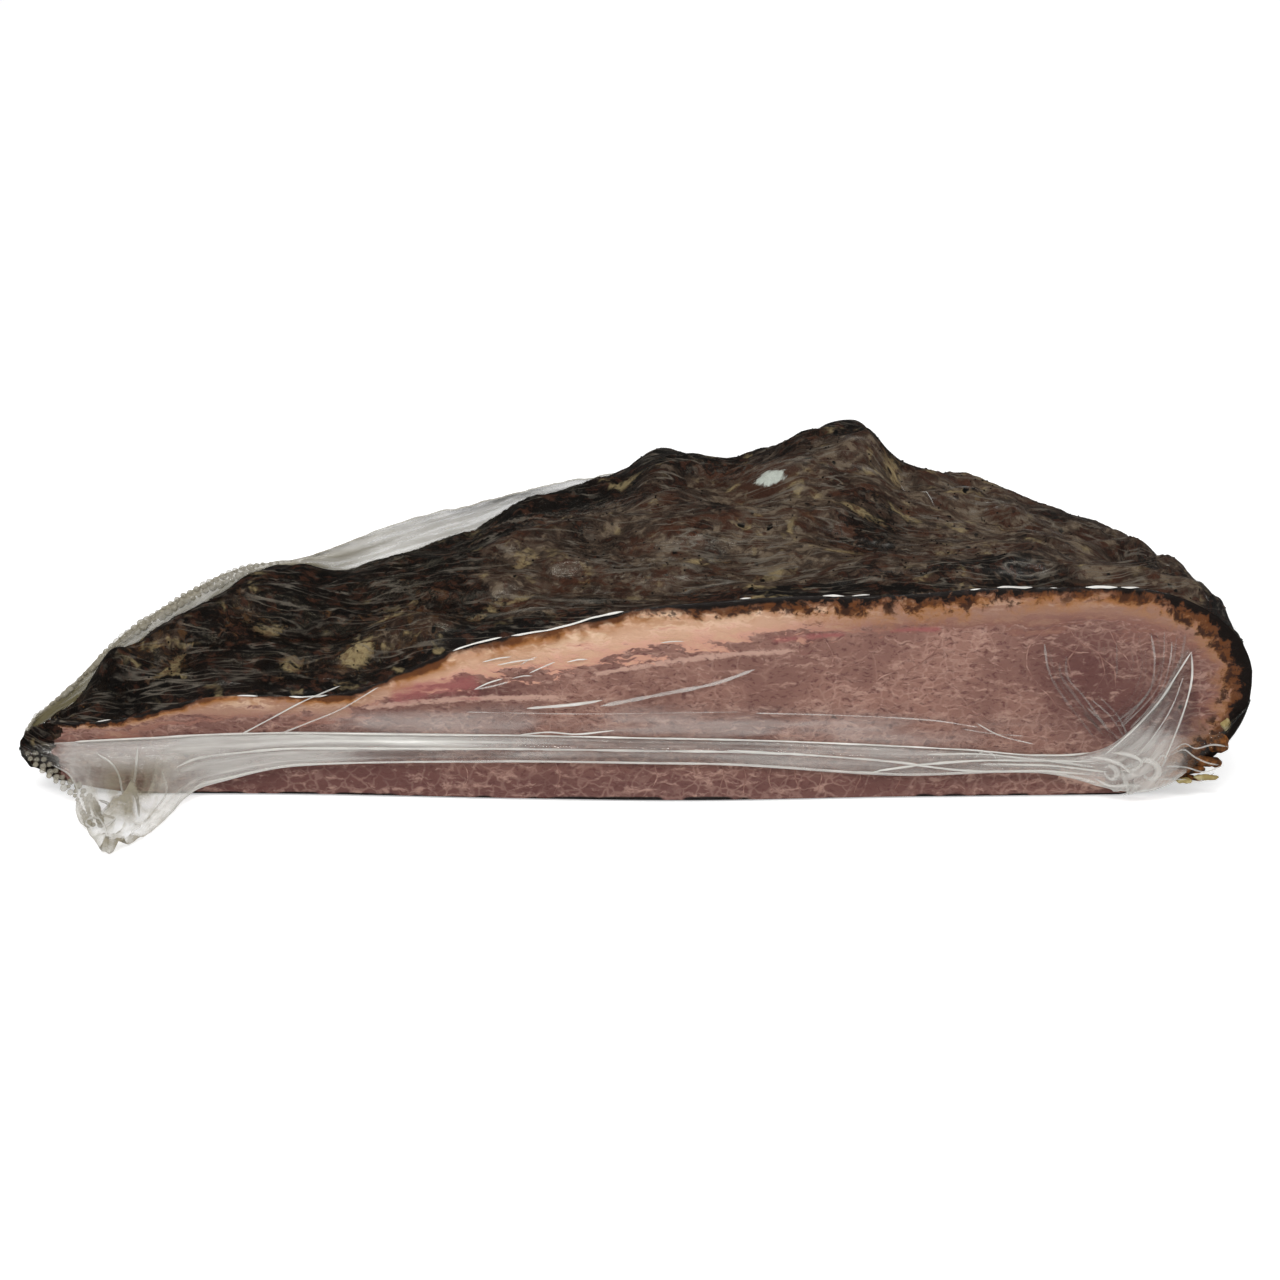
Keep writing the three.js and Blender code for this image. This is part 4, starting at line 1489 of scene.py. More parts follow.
@dataclass(frozen=True)
class Fold:
    """The fold of slack film over the foot of the cut: a flattened tube, spread as the bag's corner near
    the tip, and gathered up near the thick end."""

    form: BrisketForm
    name: str = "bag_fold"
    rows: int = 34
    top: Rows = (
        (-213, 19), (-150, 23), (-118, 23.8), (21, 21.2), (111, 17.5), (139, 15.2), (160, 17), (172, 26),
        (181, 40), (188, 54), (192, 34), (198, 24), (209, 32),
    )
    foot: Rows = (
        (-213, 15), (-203, 12), (-195, 7.5), (-188, 2.2), (-174, 1), (-160, 1.6), (-150, 5), (-118, 12),
        (21, 12.2), (90, 8.4), (139, 9.6), (170, 4), (190, 11), (209, 32),
    )
    forward: Rows = (
        (-213, 2.4), (-199, 4), (-195, 9), (-190, 26), (-183, 39), (-178, 51), (-172, 49), (-167, 41),
        (-162, 27), (-158, 8), (-153, 2.4), (150, 2.6), (165, 5.5), (176, 8.4), (187, 5.5), (200, 2.4),
    )
    milk: Rows = (
        (-213, 0.02), (-205, 0.06), (-197, 0.28), (-190, 0.3), (-150, 0.42), (-100, 0.5), (-70, 0.48),
        (-50, 0.22), (20, 0.17), (60, 0.22), (110, 0.26), (150, 0.34), (176, 0.4), (184, 0.24),
        (192, 0.06), (209, 0.04),
    )
    lower_milk: Rows = ((-213, 1), (-125, 1), (-92, 0.35), (-60, 0.4), (-36, 0.9), (209, 0.9))
    # A painted highlight: a milky white streak along the band, as if it caught the light.
    gleam: Mark = Mark(-78, 0.27, 30, 0.05)  # in shares of the fold's width
    painted_gleam_haze: float = 0.6
    # How milky the fold's top and bottom edges are made, partly a painted highlight:
    hem_highlight_haze: float = 0.3
    stand: float = 3.0  # how far it stands off, with more at the corner and the gather
    corner: Spot = Spot(-176, 14)
    corner_stand: float = 5
    gather: Spot = Spot(173, 11)
    gather_stand: float = 8
    thickness: float = 0.9
    gather_thickness: float = 1.5
    ragged: float = 0.1  # heights of its unevenness
    pleat: float = 0.5
    crumple: float = 3.6
    bunch: float = 2.6
    droop: float = 0.55
    corner_droop: float = 0.12

    def grid(self) -> Array:
        """The middle of the tube, from where it leaves the cut face to its free edge."""
        form = self.form
        x = form.station_x()
        full = form.fullness(x)
        size = np.minimum(1, 3 * full**2)
        root_z = np.clip(follow(self.top, x), form.foot(x) + 2, form.between(form.cut_top, x, full) - 2)
        kick = form.kick(x, root_z)
        at_corner, at_gather = self.corner.near(x), self.gather.near(x)
        jag = np.where(at_corner > 0.2, self.ragged * ripples(x, 5, 45, 2), 0)
        forward = follow(self.forward, x) * (1 + jag)
        edge_depth = -kick + (-forward + kick) * size
        edge_z = root_z + (follow(self.foot, x) - root_z) * size
        stand = self.stand + self.gather_stand * at_gather + self.corner_stand * at_corner
        droop = self.droop + (self.corner_droop - self.droop) * at_corner
        root = np.stack([x, CUT_Y - kick, root_z], -1)
        bend = np.stack([x, CUT_Y - kick - stand * size, edge_z + (root_z - edge_z) * droop], -1)
        edge = np.stack([x, CUT_Y + edge_depth, edge_z], -1)
        return curve_points(root, bend, edge, np.linspace(0, 1, self.rows))

    def shaped(self) -> tuple[Array, Array, Array]:
        """The tube's middle with its pleats and crumples, the share across it, and how sharply it is bent."""
        grid = self.grid()
        x = grid[..., 0]
        share = np.linspace(0, 1, self.rows)[None] + 0 * x
        at_corner, at_gather = self.corner.near(x), self.gather.near(x)
        pleats = self.pleat * folds(x, 10 * share, (90, 2.6), 41) * ease(share, 0.02, 0.2)
        down = grid[..., 1] - grid[..., 2]
        sharp = folds(x + 0.3 * down, down, (9, 11), 42) + 0.5 * folds(x, down, (4, 5), 46)
        crumple = self.crumple * at_corner * ease(share, 0.1, 0.45) * (sharp - 0.4)
        bunch = self.bunch * at_gather * ease(share, 0.1, 0.4) * (folds(x, 12 * share, (6, 5), 43) - 0.3)
        normals = grid_normals(grid)
        normals *= np.sign(normals[..., 2:] - normals[..., 1:2] + 1e-6)
        grid = grid + normals * (pleats + crumple + bunch)[..., None]
        grid[..., 2] = np.maximum(grid[..., 2], 0.9)
        return grid, share, sharp

    def build(self, film: Material) -> Object:
        """Makes the tube and dresses it."""
        grid, share, sharp = self.shaped()
        x = grid[..., 0]
        at_corner, at_gather = self.corner.near(x), self.gather.near(x)
        full = self.thickness + self.gather_thickness * at_gather
        belly = np.sin(np.pi * np.clip(share, 0.02, 0.98)) ** 0.5
        piece = thin_sheet(self.name, grid, full * (0.25 + 0.75 * belly) * (1 - 0.6 * at_corner))
        length = np.stack([lengths(row) for row in grid])
        lines = folds(x, 10 * share, (120, 2.2), 44)
        upper = ease(share, 0.62, 0.48)
        in_fin = ease(grid[..., 2], 22, 28) * ease(x, 158, 164)
        # Partly a painted highlight: the fold's top and bottom edges are made milkier, as if their rounded
        # edges caught the light.
        hems_and_highlights = ease(share, 0.05, 0.0) + ease(share, 0.95, 1.0)
        share_milky = upper + (1 - upper) * follow(self.lower_milk, x)
        haze = follow(self.milk, x) * share_milky * (0.85 + 0.5 * lines)
        haze = (haze + self.hem_highlight_haze * hems_and_highlights * (follow(self.milk, x) > 0.1)) * (1 - 0.55 * in_fin)
        crumpled = at_corner * (0.85 * (sharp - 0.3) * ease(share, 0.2, 0.5) - 0.04)
        # Painted highlight: the gleam makes the band milkier along one streak.
        haze = haze + self.painted_gleam_haze * self.gleam.mask(x, share) + crumpled
        tint = tints(np.clip(1.2 * at_corner * ease(share, 0.1, 0.4), 0, 1), Tint.MILK, Tint.BEIGE)
        dress_walls(piece, np.stack([x, length, 0 * x], -1), haze, tint)
        piece.data.materials.append(film)
        return piece


@dataclass(frozen=True)
class Strand:
    """A crease or loop of gathered film, or a painted highlight drawn as a milky strand: its (x, out from the
    cut, z) places and its radius.
    """

    places: Sequence[Place]
    radius: float = 0.35
    haze: float = 0.6

    def path(self) -> Array:
        """Its smooth line."""
        return smooth_path([(x, CUT_Y - out, z) for x, out, z in self.places], LINE_STEP)

    @staticmethod
    def fan(first: Sequence[Place], last: Sequence[Place], count: int, radius: float) -> list["Strand"]:
        """Creases side by side between two of them, each a little shifted and cut short."""
        chance = np.random.default_rng(round(sum(first[0]) + count))
        found = []
        for share in np.linspace(0, 1, count):
            line = np.array(first) * (1 - share) + np.array(last) * share
            line += chance.normal(0, 0.5, line.shape) * (1, 0.1, 1)
            cut = chance.uniform(0, 0.4)
            line[0] = line[0] * (1 - cut) + line[1] * cut
            places = tuple(map(tuple, line.tolist()))
            found.append(Strand(places, radius * chance.uniform(0.6, 1.2), chance.uniform(0.05, 0.16)))
        return found


def strands(*rows: tuple) -> tuple[Strand, ...]:
    """Strands, each given as a row of its places, its radius and its haze."""
    return tuple(Strand(*row) for row in rows)


@dataclass(frozen=True)
class Hem:
    """A crease along the fold, milky white, and on the fold's edges partly a painted highlight: (x, share of
    the way from the fold's root to its edge) rows.
    """

    rows: Rows
    radius: float = 0.4
    haze: float = 0.6


@dataclass(frozen=True)
class Bundle:
    """Lines gathered into one piece of thin round strands: their points, links, radii and film values."""

    points: list = field(default_factory=list)
    links: list = field(default_factory=list)
    radii: list = field(default_factory=list)
    haze: list = field(default_factory=list)
    along: list = field(default_factory=list)

    def add(self, path: Array, radii: Array, haze: Array) -> None:
        """Adds an (n, 3) line with its radii and hazes."""
        start = len(self.points)
        self.points.extend(path.tolist())
        self.links.extend((start + i, start + i + 1) for i in range(len(path) - 1))
        self.radii.extend(radii.tolist())
        self.haze.extend(haze.tolist())
        self.along.extend((at, 0.0, start) for at in lengths(path).tolist())

    def build(self, name: str, sides: int, tree: Tree, finish: Material) -> Object:
        """Makes the strands, marked for the film's finish."""
        mesh = bpy.data.meshes.new(name)
        mesh.from_pydata((np.array(self.points) * MM).tolist(), self.links, [])
        piece = put_in(name, mesh)
        mark(piece, "girth", np.array(self.radii) * MM)
        milk = tints(np.zeros(len(self.points)), Tint.MILK, Tint.MILK)
        dress_film(piece, np.array(self.along), np.array(self.haze), milk)
        grow(piece, tree, Sides=sides, Finish=finish)
        return piece


@dataclass(frozen=True)
class Marbling:
    """Fine lines of fat in the lean of the cut face, as thin strands let into it."""

    brisket: Brisket
    name: str = "fat_marbling"
    sides: int = 5
    rows: Sequence[Rows] = (
        ((138, 61), (144, 64), (153, 65), (163, 64), (171, 60)), ((138, 61), (133, 55), (133, 48), (137, 41)),
        ((137, 41), (143, 35), (150, 30), (160, 25)), ((146, 63), (150, 57), (158, 52), (159, 44), (156, 38)),
        ((158, 52), (163, 47), (164, 40)), ((140, 56), (147, 54), (154, 53)),
        ((160, 62), (163, 56), (168, 50)), ((150, 57), (147, 50), (149, 44)),
        ((104, 60), (100, 52), (93, 47), (90, 40)), ((93, 47), (84, 45), (78, 38)),
        ((62, 60), (66, 53), (64, 46)), ((112, 53), (120, 50), (128, 45)), ((64, 46), (70, 48), (77, 50)),
        ((110, 35), (118, 30), (128, 24)), ((28, 14), (29, 8), (28, 2)), ((36, 13), (37, 7), (36, 2)),
        ((46, 14), (45, 8), (47, 2)), ((54, 14), (54, 8), (56, 3)), ((62, 13), (63, 7), (62, 2)),
        ((76, 12), (77, 7), (75, 2)), ((-30, 13), (-28, 7), (-30, 2)), ((-62, 13), (-60, 7), (-62, 3)),
        ((90, 11), (91, 6), (89, 2)), ((4, 14), (6, 8), (4, 3)),
    )
    radius: float = 0.24

    def build(self, tree: Tree, finish: Material) -> Object:
        """Makes the lines, thin at both ends."""
        skin = self.brisket.surface(0.0)[:, : Stretch.CUT.value]
        bundle = Bundle()
        for rows in self.rows:
            line = smooth_path([(x, 0, z) for x, z in rows], 1.0)[:, [0, 2]]
            line += 0.5 * np.stack([waves(line[:, 0], line[:, 1], (5, 5), seed, 2) for seed in (61, 62)], -1)
            station = nearest(line[:, 0], skin[:, 0, 0])
            y = [np.interp(z, skin[i, :, 2], skin[i, :, 1]) for i, z in zip(station, line[:, 1])]
            swell = np.sin(np.linspace(0, math.pi, len(line)))
            thick = 0.2 + 0.8 * swell + 0.5 * waves(line[:, 0], line[:, 1], (4, 4), 63)
            path = np.stack([line[:, 0], y, line[:, 1]], -1)
            bundle.add(path, self.radius * np.maximum(0.15, thick), 0 * swell)
        return bundle.build(self.name, self.sides, tree, finish)


@dataclass(frozen=True)
class Strands:
    """The film's thin creases and loops, on the cut, the bark and the fold, and where it is gathered, with
    painted highlights among them drawn as milky white strands.
    """

    fold: Fold
    brisket: Brisket
    name: str = "bag_creases_and_highlights"
    ridge_name: str = "bag_ridges"
    sides: int = 7
    hem_step: float = 2.0
    hem_out: Place = (0, -0.95, 0.4)
    # Where the painted highlight strands along the cut's upper edge lie, and how milky white they are:
    edge_out: float = 0.55
    edge_up: float = 0.25
    edge_highlight_haze: float = 1.4
    bark_out: float = 0.6
    on_cut: Sequence[Strand] = strands(
        # The next eight are painted highlights, milky white strands: glare streaks on the lean and glints on
        # the fat.
        (((-39, 1.1, 33), (-32, 1.3, 33.6), (-22, 1.4, 34.6), (-13, 1.2, 36)), 0.6, 0.9),
        (((-42, 1.1, 23), (-32, 1.4, 24.2), (-22, 1.2, 23.4), (-9, 1.3, 24.8)), 0.28, 0.9),
        (((-54, 1.1, 50), (-49, 1.3, 51.4), (-44, 1.1, 52)), 0.22, 0.9),
        (((-41, 1.1, 49), (-38, 1.3, 51), (-35, 1.1, 52)), 0.2, 0.9),
        (((-57, 1.1, 40), (-52, 1.3, 42.5), (-47, 1.1, 44)), 0.3, 0.8),
        (((-25, 1.1, 50), (-21, 1.2, 51), (-18, 1.1, 51)), 0.2, 0.8),
        (((-44, 1.1, 44), (-40, 1.2, 45), (-37, 1.1, 45)), 0.2, 0.8),
        (((7, 1.1, 57), (11, 1.2, 57.6), (15, 1.1, 57.6)), 0.18, 0.7),
        (((-138.8, 1.2, 23), (-127, 1.3, 29.6), (-116, 1.3, 35.7), (-103, 1.4, 41.5)), 0.3, 0.5),
        (((-126, 1.2, 23), (-114, 1.3, 28), (-103.3, 1.3, 32.7), (-90, 1.6, 41)), 0.25, 0.45),
        (((-13.8, 1.2, 33.8), (9, 1.4, 38.6), (25.8, 1.4, 42.3), (39.5, 1.4, 47.5)), 0.6, 0.3),
        # The next three are painted highlights too: glints on the fat and the lean.
        (((-49, 1.3, 49), (-42, 1.5, 50.5), (-36, 1.4, 51.2)), 0.3, 0.7),
        (((-57, 1.2, 40), (-50, 1.5, 41.5), (-45, 1.4, 43)), 0.3, 0.6),
        (((-38, 1.2, 46), (-33, 1.4, 48.5), (-29, 1.3, 50.2)), 0.25, 0.7),
        (((116.6, 1.0, 27.3), (124.6, 1.4, 23), (136.6, 1.1, 19.6)), 0.2, 0.5),
        (((112, 1.0, 25.2), (121, 1.4, 23.8), (133, 1.0, 22.6)), 0.16, 0.3),
        (((-60, 1.0, 31.6), (-20, 1.3, 31.0), (34, 1.0, 31.6)), 0.16, 0.2),
        (((40, 1.1, 31.2), (70, 1.2, 30.4), (101, 1.3, 28.6), (117, 1.2, 26)), 0.2, 0.25),
    )
    ridges: Sequence[Strand] = (
        *Strand.fan(((170, 1, 60), (172, 1.2, 49), (170.6, 1.1, 38), (163, 1, 28)),
                    ((186, 1, 62), (185, 1.2, 51), (182, 1.1, 40), (171, 1, 24)), 8, 0.45),
        *Strand.fan(((138, 1, 57), (140, 1.2, 47), (145, 1.1, 39), (158, 1, 23)),
                    ((145, 1, 53), (147, 1.2, 45), (152, 1.1, 37), (163, 1, 24)), 4, 0.45),
        *Strand.fan(((158, 1, 60), (160, 1.1, 52), (161, 1, 44)),
                    ((166, 1, 58), (168, 1.1, 50), (168, 1, 42)), 3, 0.35),
        *Strand.fan(((150, 1, 33), (158, 1.1, 26), (166, 1, 20)),
                    ((158, 1, 38), (165, 1.1, 30), (170, 1, 22)), 4, 0.4),
    )
    knot: Sequence[Strand] = strands(
        (((166, 6, 13), (170.9, 7, 14.2), (172.4, 8.5, 16.5), (175, 9, 16.9), (177.9, 9, 15),
         (178.9, 8.5, 12.2), (177.7, 8, 9.6), (175.2, 8, 9.6), (174, 8, 11.4)), 1.15, 0.34),
        (((160.6, 6, 12.7), (161.8, 8, 14.4), (163.8, 9, 13.6), (164.8, 8.5, 11.4), (163.8, 8, 9.4),
         (161.9, 7, 9.6), (160.6, 6, 11.4)), 0.9, 0.34),
        (((166.5, 6, 12.7), (167.4, 8, 9.7), (168.7, 8, 6.7), (169.2, 7, 4), (168, 6, 2.4)), 1.0, 0.4),
        (((163, 5, 18), (168, 8, 18.6), (173, 8.5, 16), (171, 8, 13), (166, 7, 12)), 0.6, 0.5),
        (((156, 4, 16), (161, 7.5, 16.6), (166, 9, 15), (170, 9, 11)), 0.6, 0.5),
        (((158, 4, 8), (163, 7, 6.4), (170, 8.5, 7.4), (175, 7, 6)), 0.6, 0.5),
        (((178, 7, 15), (180, 6.5, 17.6), (182, 5, 16), (180.4, 6.5, 13)), 0.4, 0.5),
        (((161, 5, 17.5), (166, 6, 23), (172, 6.5, 30), (178.6, 6, 38.6), (183.4, 5, 47),
         (188.2, 3, 54.6)), 0.3, 0.5),
        (((188.2, 3, 54.6), (188.6, 5, 46), (187, 6, 36), (184, 6.5, 25), (181, 7.5, 16.7)), 0.34, 0.6),
        (((186, 4, 46), (182, 6.5, 35), (176, 7, 24), (171, 7, 17)), 0.2, 0.35),
        (((183, 5, 17), (187.8, 5, 19.2), (191.5, 5.5, 16.8), (196.6, 5, 14.2),
         (200.8, 4, 13)), 0.28, 0.5),
        (((184, 5, 18.6), (188, 5, 21.4), (192, 4.5, 19.4), (198, 4, 20.6), (204, 2, 19)), 0.26, 0.45),
        (((182, 5, 13), (189, 5, 12.6), (196, 4, 10.4), (203, 2, 12)), 0.3, 0.45),
        (((180, 5, 8), (188, 5, 8), (195, 3, 6.4), (201, -1, 8)), 0.3, 0.4),
        (((116, 3.2, 15.2), (118.5, 4.2, 18), (122, 4.4, 17.4), (123.4, 3.8, 15.2)), 0.25, 0.6),
    )
    corner: Sequence[Strand] = strands(
        (((-173.8, 4, 19.6), (-174.6, 6, 12), (-175.6, 7.5, 5), (-174, 10, 3.2),
         (-170, 26, 3.2)), 0.5, 0.5),
        (((-188.6, 3, 17), (-183, 5, 14), (-180.6, 6, 10), (-179.4, 8, 5), (-177, 14, 3.2),
         (-175, 24, 3)), 0.45, 0.5),
        (((-192, 8, 3), (-186, 22, 3.2), (-180, 34, 3), (-176, 47, 2)), 0.4, 0.5),
        (((-187, 12, 3.4), (-182, 18, 4.2), (-183, 24, 3.6), (-178, 28, 3.4),
         (-180, 34, 3)), 0.45, 0.55),
        (((-172, 30, 3.4), (-168, 34, 3.6), (-170, 38, 3.2), (-166, 40, 2.6)), 0.4, 0.55),
        (((-184, 34, 2.6), (-187, 31, 3.2), (-186, 27, 3.4), (-182, 28, 3.2)), 0.5, 0.6),
        (((-166, 5, 12), (-164, 8, 5), (-166, 20, 3), (-168, 30, 2.6)), 0.3, 0.4),
    )
    # Partly painted highlights: the hems on the fold's top and bottom edges are milky white lines, as if the
    # rounded edges caught the light; the others are creases.
    hems_and_highlights: Sequence[Hem] = (
        Hem(((-196, 0.02), (157, 0.02)), 0.32, 0.9),
        Hem(((-160, 0.44), (-60, 0.5), (60, 0.46)), 0.4, 0.6),
        Hem(((-155, 0.96), (60, 0.97), (160, 0.95)), 0.4, 0.5),
        Hem(((30, 0.42), (88, 0.55), (118, 0.93), (132, 0.95), (160, 0.7)), 0.4, 0.65),
        Hem(((80, 0.95), (95, 0.66), (117, 0.44), (139, 0.3), (160, 0.3)), 0.4, 0.65),
        Hem(((100, 0.25), (125, 0.16), (160, 0.5)), 0.35, 0.55),
        Hem(((118, 0.6), (140, 0.55), (163, 0.6)), 0.35, 0.5),
    )
    on_bark: Sequence[Hem] = (
        Hem(((190, 34), (194.5, 30), (198.5, 22), (201, 12)), 0.4, 0.4),
        Hem(((194, 38), (199, 30), (202.5, 20), (204.5, 9)), 0.35, 0.35),
        Hem(((186, 36), (191, 26), (196, 16), (198.5, 8)), 0.25, 0.25),
        Hem(((96, 78), (103, 70), (108, 58)), 0.2, 0.3),
    )
    # Painted highlights along the cut's upper edge, as milky white strands: each row is a start x, an end x
    # and a radius.
    edge: Sequence[Place] = (
        (-139, -131, 0.22), (-121, -107, 0.32), (-64, -46, 0.3), (-44, -5, 0.34), (34, 38, 0.42),
        (62, 70, 0.7), (72, 79, 0.3), (112, 116, 0.34), (121, 134, 0.4), (139, 142, 0.36),
        (151, 162, 0.45), (163, 170, 0.4), (-188, -182, 0.2),
    )

    def lines(self) -> list[Line]:
        """Every crease and painted highlight strand, but for the ridges."""
        drawn = [(s.path(), s.radius, s.haze) for s in (*self.on_cut, *self.knot, *self.corner)]
        return drawn + self.edge_highlight_lines() + self.bark_lines() + self.fold_lines()

    def edge_highlight_lines(self) -> list[Line]:
        """Painted highlights: bright milky white strands where the film turns over the upper edge of the cut.
        """
        found = []
        for start, end, radius in self.edge:
            x = np.arange(start, end, LINE_STEP)
            top = follow(self.fold.form.cut_top, x) + self.edge_up + 0.4 * ripples(x, 13, 54)
            found.append((np.stack([x, CUT_Y - self.edge_out + 0 * x, top], -1), radius, self.edge_highlight_haze))
        return found

    def bark_lines(self) -> list[Line]:
        """The creases that lie on the bark."""
        skin = self.brisket.surface(self.bark_out)
        first = Stretch.CUT.value
        last = first + Stretch.FRONT.value + Stretch.BACK.value
        found = []
        for crease in self.on_bark:
            x = np.arange(crease.rows[0][0], crease.rows[-1][0], LINE_STEP)
            depth = follow(crease.rows, x) + 0.6 * ripples(x, 16, 55)
            station = nearest(x, skin[:, first, 0])
            rings = skin[station, first:last]
            height = [np.interp(CUT_Y + d, ring[:, 1], ring[:, 2]) for d, ring in zip(depth, rings)]
            found.append((np.stack([x, CUT_Y + depth, np.array(height)], -1), crease.radius, crease.haze))
        return found

    def fold_lines(self) -> list[Line]:
        """The hems and creases along the fold; the hems on its top and bottom edges are partly painted
        highlights, milky white lines.
        """
        grid = self.fold.grid()
        rows = np.arange(self.fold.rows)
        found = []
        for hem in self.hems_and_highlights:
            x = np.arange(hem.rows[0][0], hem.rows[-1][0], self.hem_step)
            station = nearest(x, grid[:, 0, 0])
            share = follow(hem.rows, x) + 0.02 * ripples(x, 40, 51)
            place = np.clip(share, 0, 1) * (self.fold.rows - 1)
            line = [[np.interp(at, rows, row) for row in grid[i].T] for i, at in zip(station, place)]
            found.append((np.array(line) + self.hem_out, hem.radius, hem.haze))
        return found

    def build(self, tree: Tree, film: Material) -> Object:
        """Makes the strands."""
        return self.gathered(self.lines()).build(self.name, self.sides, tree, film)

    def build_ridges(self, tree: Tree, film: Material) -> Object:
        """Makes the faint ridges of the film over the thick end of the cut."""
        lines = [(s.path(), s.radius, s.haze) for s in self.ridges]
        return self.gathered(lines).build(self.ridge_name, self.sides, tree, film)

    @staticmethod
    def gathered(lines: list[Line]) -> Bundle:
        """The lines as one bundle, thin at both ends and a little uneven."""
        bundle = Bundle()
        for number, (path, radius, milk) in enumerate(lines):
            run = lengths(path)
            taper = np.minimum(1, np.minimum(run, run[-1] - run) / (7 * radius) + 0.12)
            radii = radius * taper * (1 + 0.25 * waves(run, 0 * run + 9 * number, (6, 1), 52))
            bundle.add(path, radii, milk * (1 + 0.5 * waves(run, 0 * run + 9 * number, (14, 1), 53)))
        return bundle


@dataclass(frozen=True)
class Beads:
    """The embossed seal round the thin end: rows of small blisters along the seam and on to the corner."""

    seam: Seam
    name: str = "seal_beads"
    pitch: float = 2.7
    rows: Sequence[float] = (0.6, 3.3)  # distances in from the edge
    radius: float = 1.45
    flat: float = 0.6
    last_x: float = -128
    fade: float = 22
    corner: Sequence[Place] = (
        (-213, -66, 20), (-212, -72, 15), (-206, -75, 10), (-200, -76, 5.5), (-195, -79, 3), (-190, -92, 2.4),
        (-187, -100, 2.2),
    )
    corner_rows: int = 3
    corner_in: Place = (2.2, 0.6, -0.2)  # from one row to the next
    corner_facing: Place = (-0.3, -0.8, 0.5)
    corner_size: float = 0.85
    segments: int = 8
    rings: int = 5

    def spots(self) -> tuple[Array, Array, Array]:
        """Each blister's place, the way that it faces and its size."""
        grid = self.seam.grid()
        edge, inner = grid[:, -1], grid[:, -2]
        normal = grid_normals(grid)[:, -1]
        inward = (inner - edge) / np.maximum(np.linalg.norm(inner - edge, axis=1, keepdims=True), 1e-6)
        keep = edge[:, 0] < self.last_x
        run = lengths(edge[keep])
        places, facing, sizes = [], [], []
        for row, distance in enumerate(self.rows):
            at = np.arange(row * self.pitch / 2, run[-1], self.pitch)
            line = edge[keep] + inward[keep] * distance
            found = np.stack([np.interp(at, run, line[:, i]) for i in range(3)], -1)
            faced = np.stack([np.interp(at, run, normal[keep][:, i]) for i in range(3)], -1)
            places.append(found)
            facing.append(faced)
            sizes.append(np.minimum(1, (self.last_x - found[:, 0]) / self.fade + 0.2))
        round_corner = smooth_path(self.corner, self.pitch)
        for row in range(self.corner_rows):
            shifted = round_corner + row * np.array(self.corner_in)
            places.append(shifted)
            facing.append(np.tile(self.corner_facing, (len(shifted), 1)))
            sizes.append(np.full(len(shifted), self.corner_size))
        return np.concatenate(places), np.concatenate(facing), np.concatenate(sizes)

    def build(self, tree: Tree, film: Material) -> Object:
        """Makes the blisters and dresses them."""
        places, facing, sizes = self.spots()
        number = np.arange(len(places), dtype=float)
        sway = np.stack([ripples(number, 1.7, seed, 1) for seed in (61, 62, 63)], -1)
        piece = new_piece(self.name, places + 0.5 * sway, [])
        wide = self.radius * sizes * (1 + 0.35 * sway[:, 0])
        mark(piece, "size", np.stack([wide, wide * 0.9, wide * self.flat], -1) * MM)
        mark(piece, "out", facing)
        haze = 0.6 + 0.25 * sway[:, 1]
        dress_film(piece, places, haze, tints(0.5 + 0.5 * sway[:, 2], Tint.GREY, Tint.BEIGE))
        grow(piece, tree, Segments=self.segments, Rings=self.rings, Uneven=0.5 * MM, Cells=500.0, Finish=film)
        return piece


@dataclass(frozen=True)
class Crumbs:
    """Peppery crumbs of burnt rub, strewn over the bark under the film."""

    brisket: Object
    name: str = "rub_crumbs"
    a_square_metre: float = 30000.0
    smallest: float = 0.22
    largest: float = 0.5
    seed: int = 7

    def build(self, tree: Tree, finish: Material) -> Object:
        """Makes the crumbs."""
        piece = put_in(self.name, self.brisket.data.copy())
        sizes = {"Smallest": self.smallest * MM, "Largest": self.largest * MM, "Density": self.a_square_metre}
        form = {"Segments": 6, "Rings": 4, "Uneven": 0.4 * MM, "Cells": 900.0}
        grow(piece, tree, Seed=self.seed, Finish=finish, **sizes, **form)
        return piece


@dataclass(frozen=True)
class Scraps:
    """Loose scraps of fat that the film holds at the foot of the thick end."""

    fat_places: ClassVar[Sequence[Place]] = ((203.2, -69, 27), (205.5, -66, 31), (197, -73, 8), (189, -74, 7))
    fat_sizes: ClassVar[Sequence[Place]] = ((2.2, 2, 3.2), (1.8, 2, 3), (4.5, 1.4, 1.2), (3.4, 1.3, 1.1))
    name: str = "burnt_scraps"
    places: Sequence[Place] = (
        (200.5, -70, 20), (203, -66, 17), (196, -72, 13.5), (191, -73, 11), (200, -69, 12), (186, -73, 9),
        (193, -71, 7), (205, -60, 22),
    )
    sizes: Sequence[Place] = (
        (4.2, 3, 3.4), (2.6, 2.6, 2.4), (6, 1.6, 1.6), (5, 1.4, 1.5), (3, 1.6, 1.4), (4, 1.4, 1.6),
        (5, 1.2, 1.2), (2.4, 3, 3),
    )
    facing: Place = (0.0, 0.3, 1.0)

    def build(self, tree: Tree, finish: Material) -> Object:
        """Makes the scraps."""
        piece = new_piece(self.name, np.array(self.places), [])
        mark(piece, "size", np.array(self.sizes) * MM)
        mark(piece, "out", np.tile(self.facing, (len(self.places), 1)))
        grow(piece, tree, Segments=28, Rings=18, Uneven=3.4 * MM, Cells=230.0, Finish=finish)
        return piece


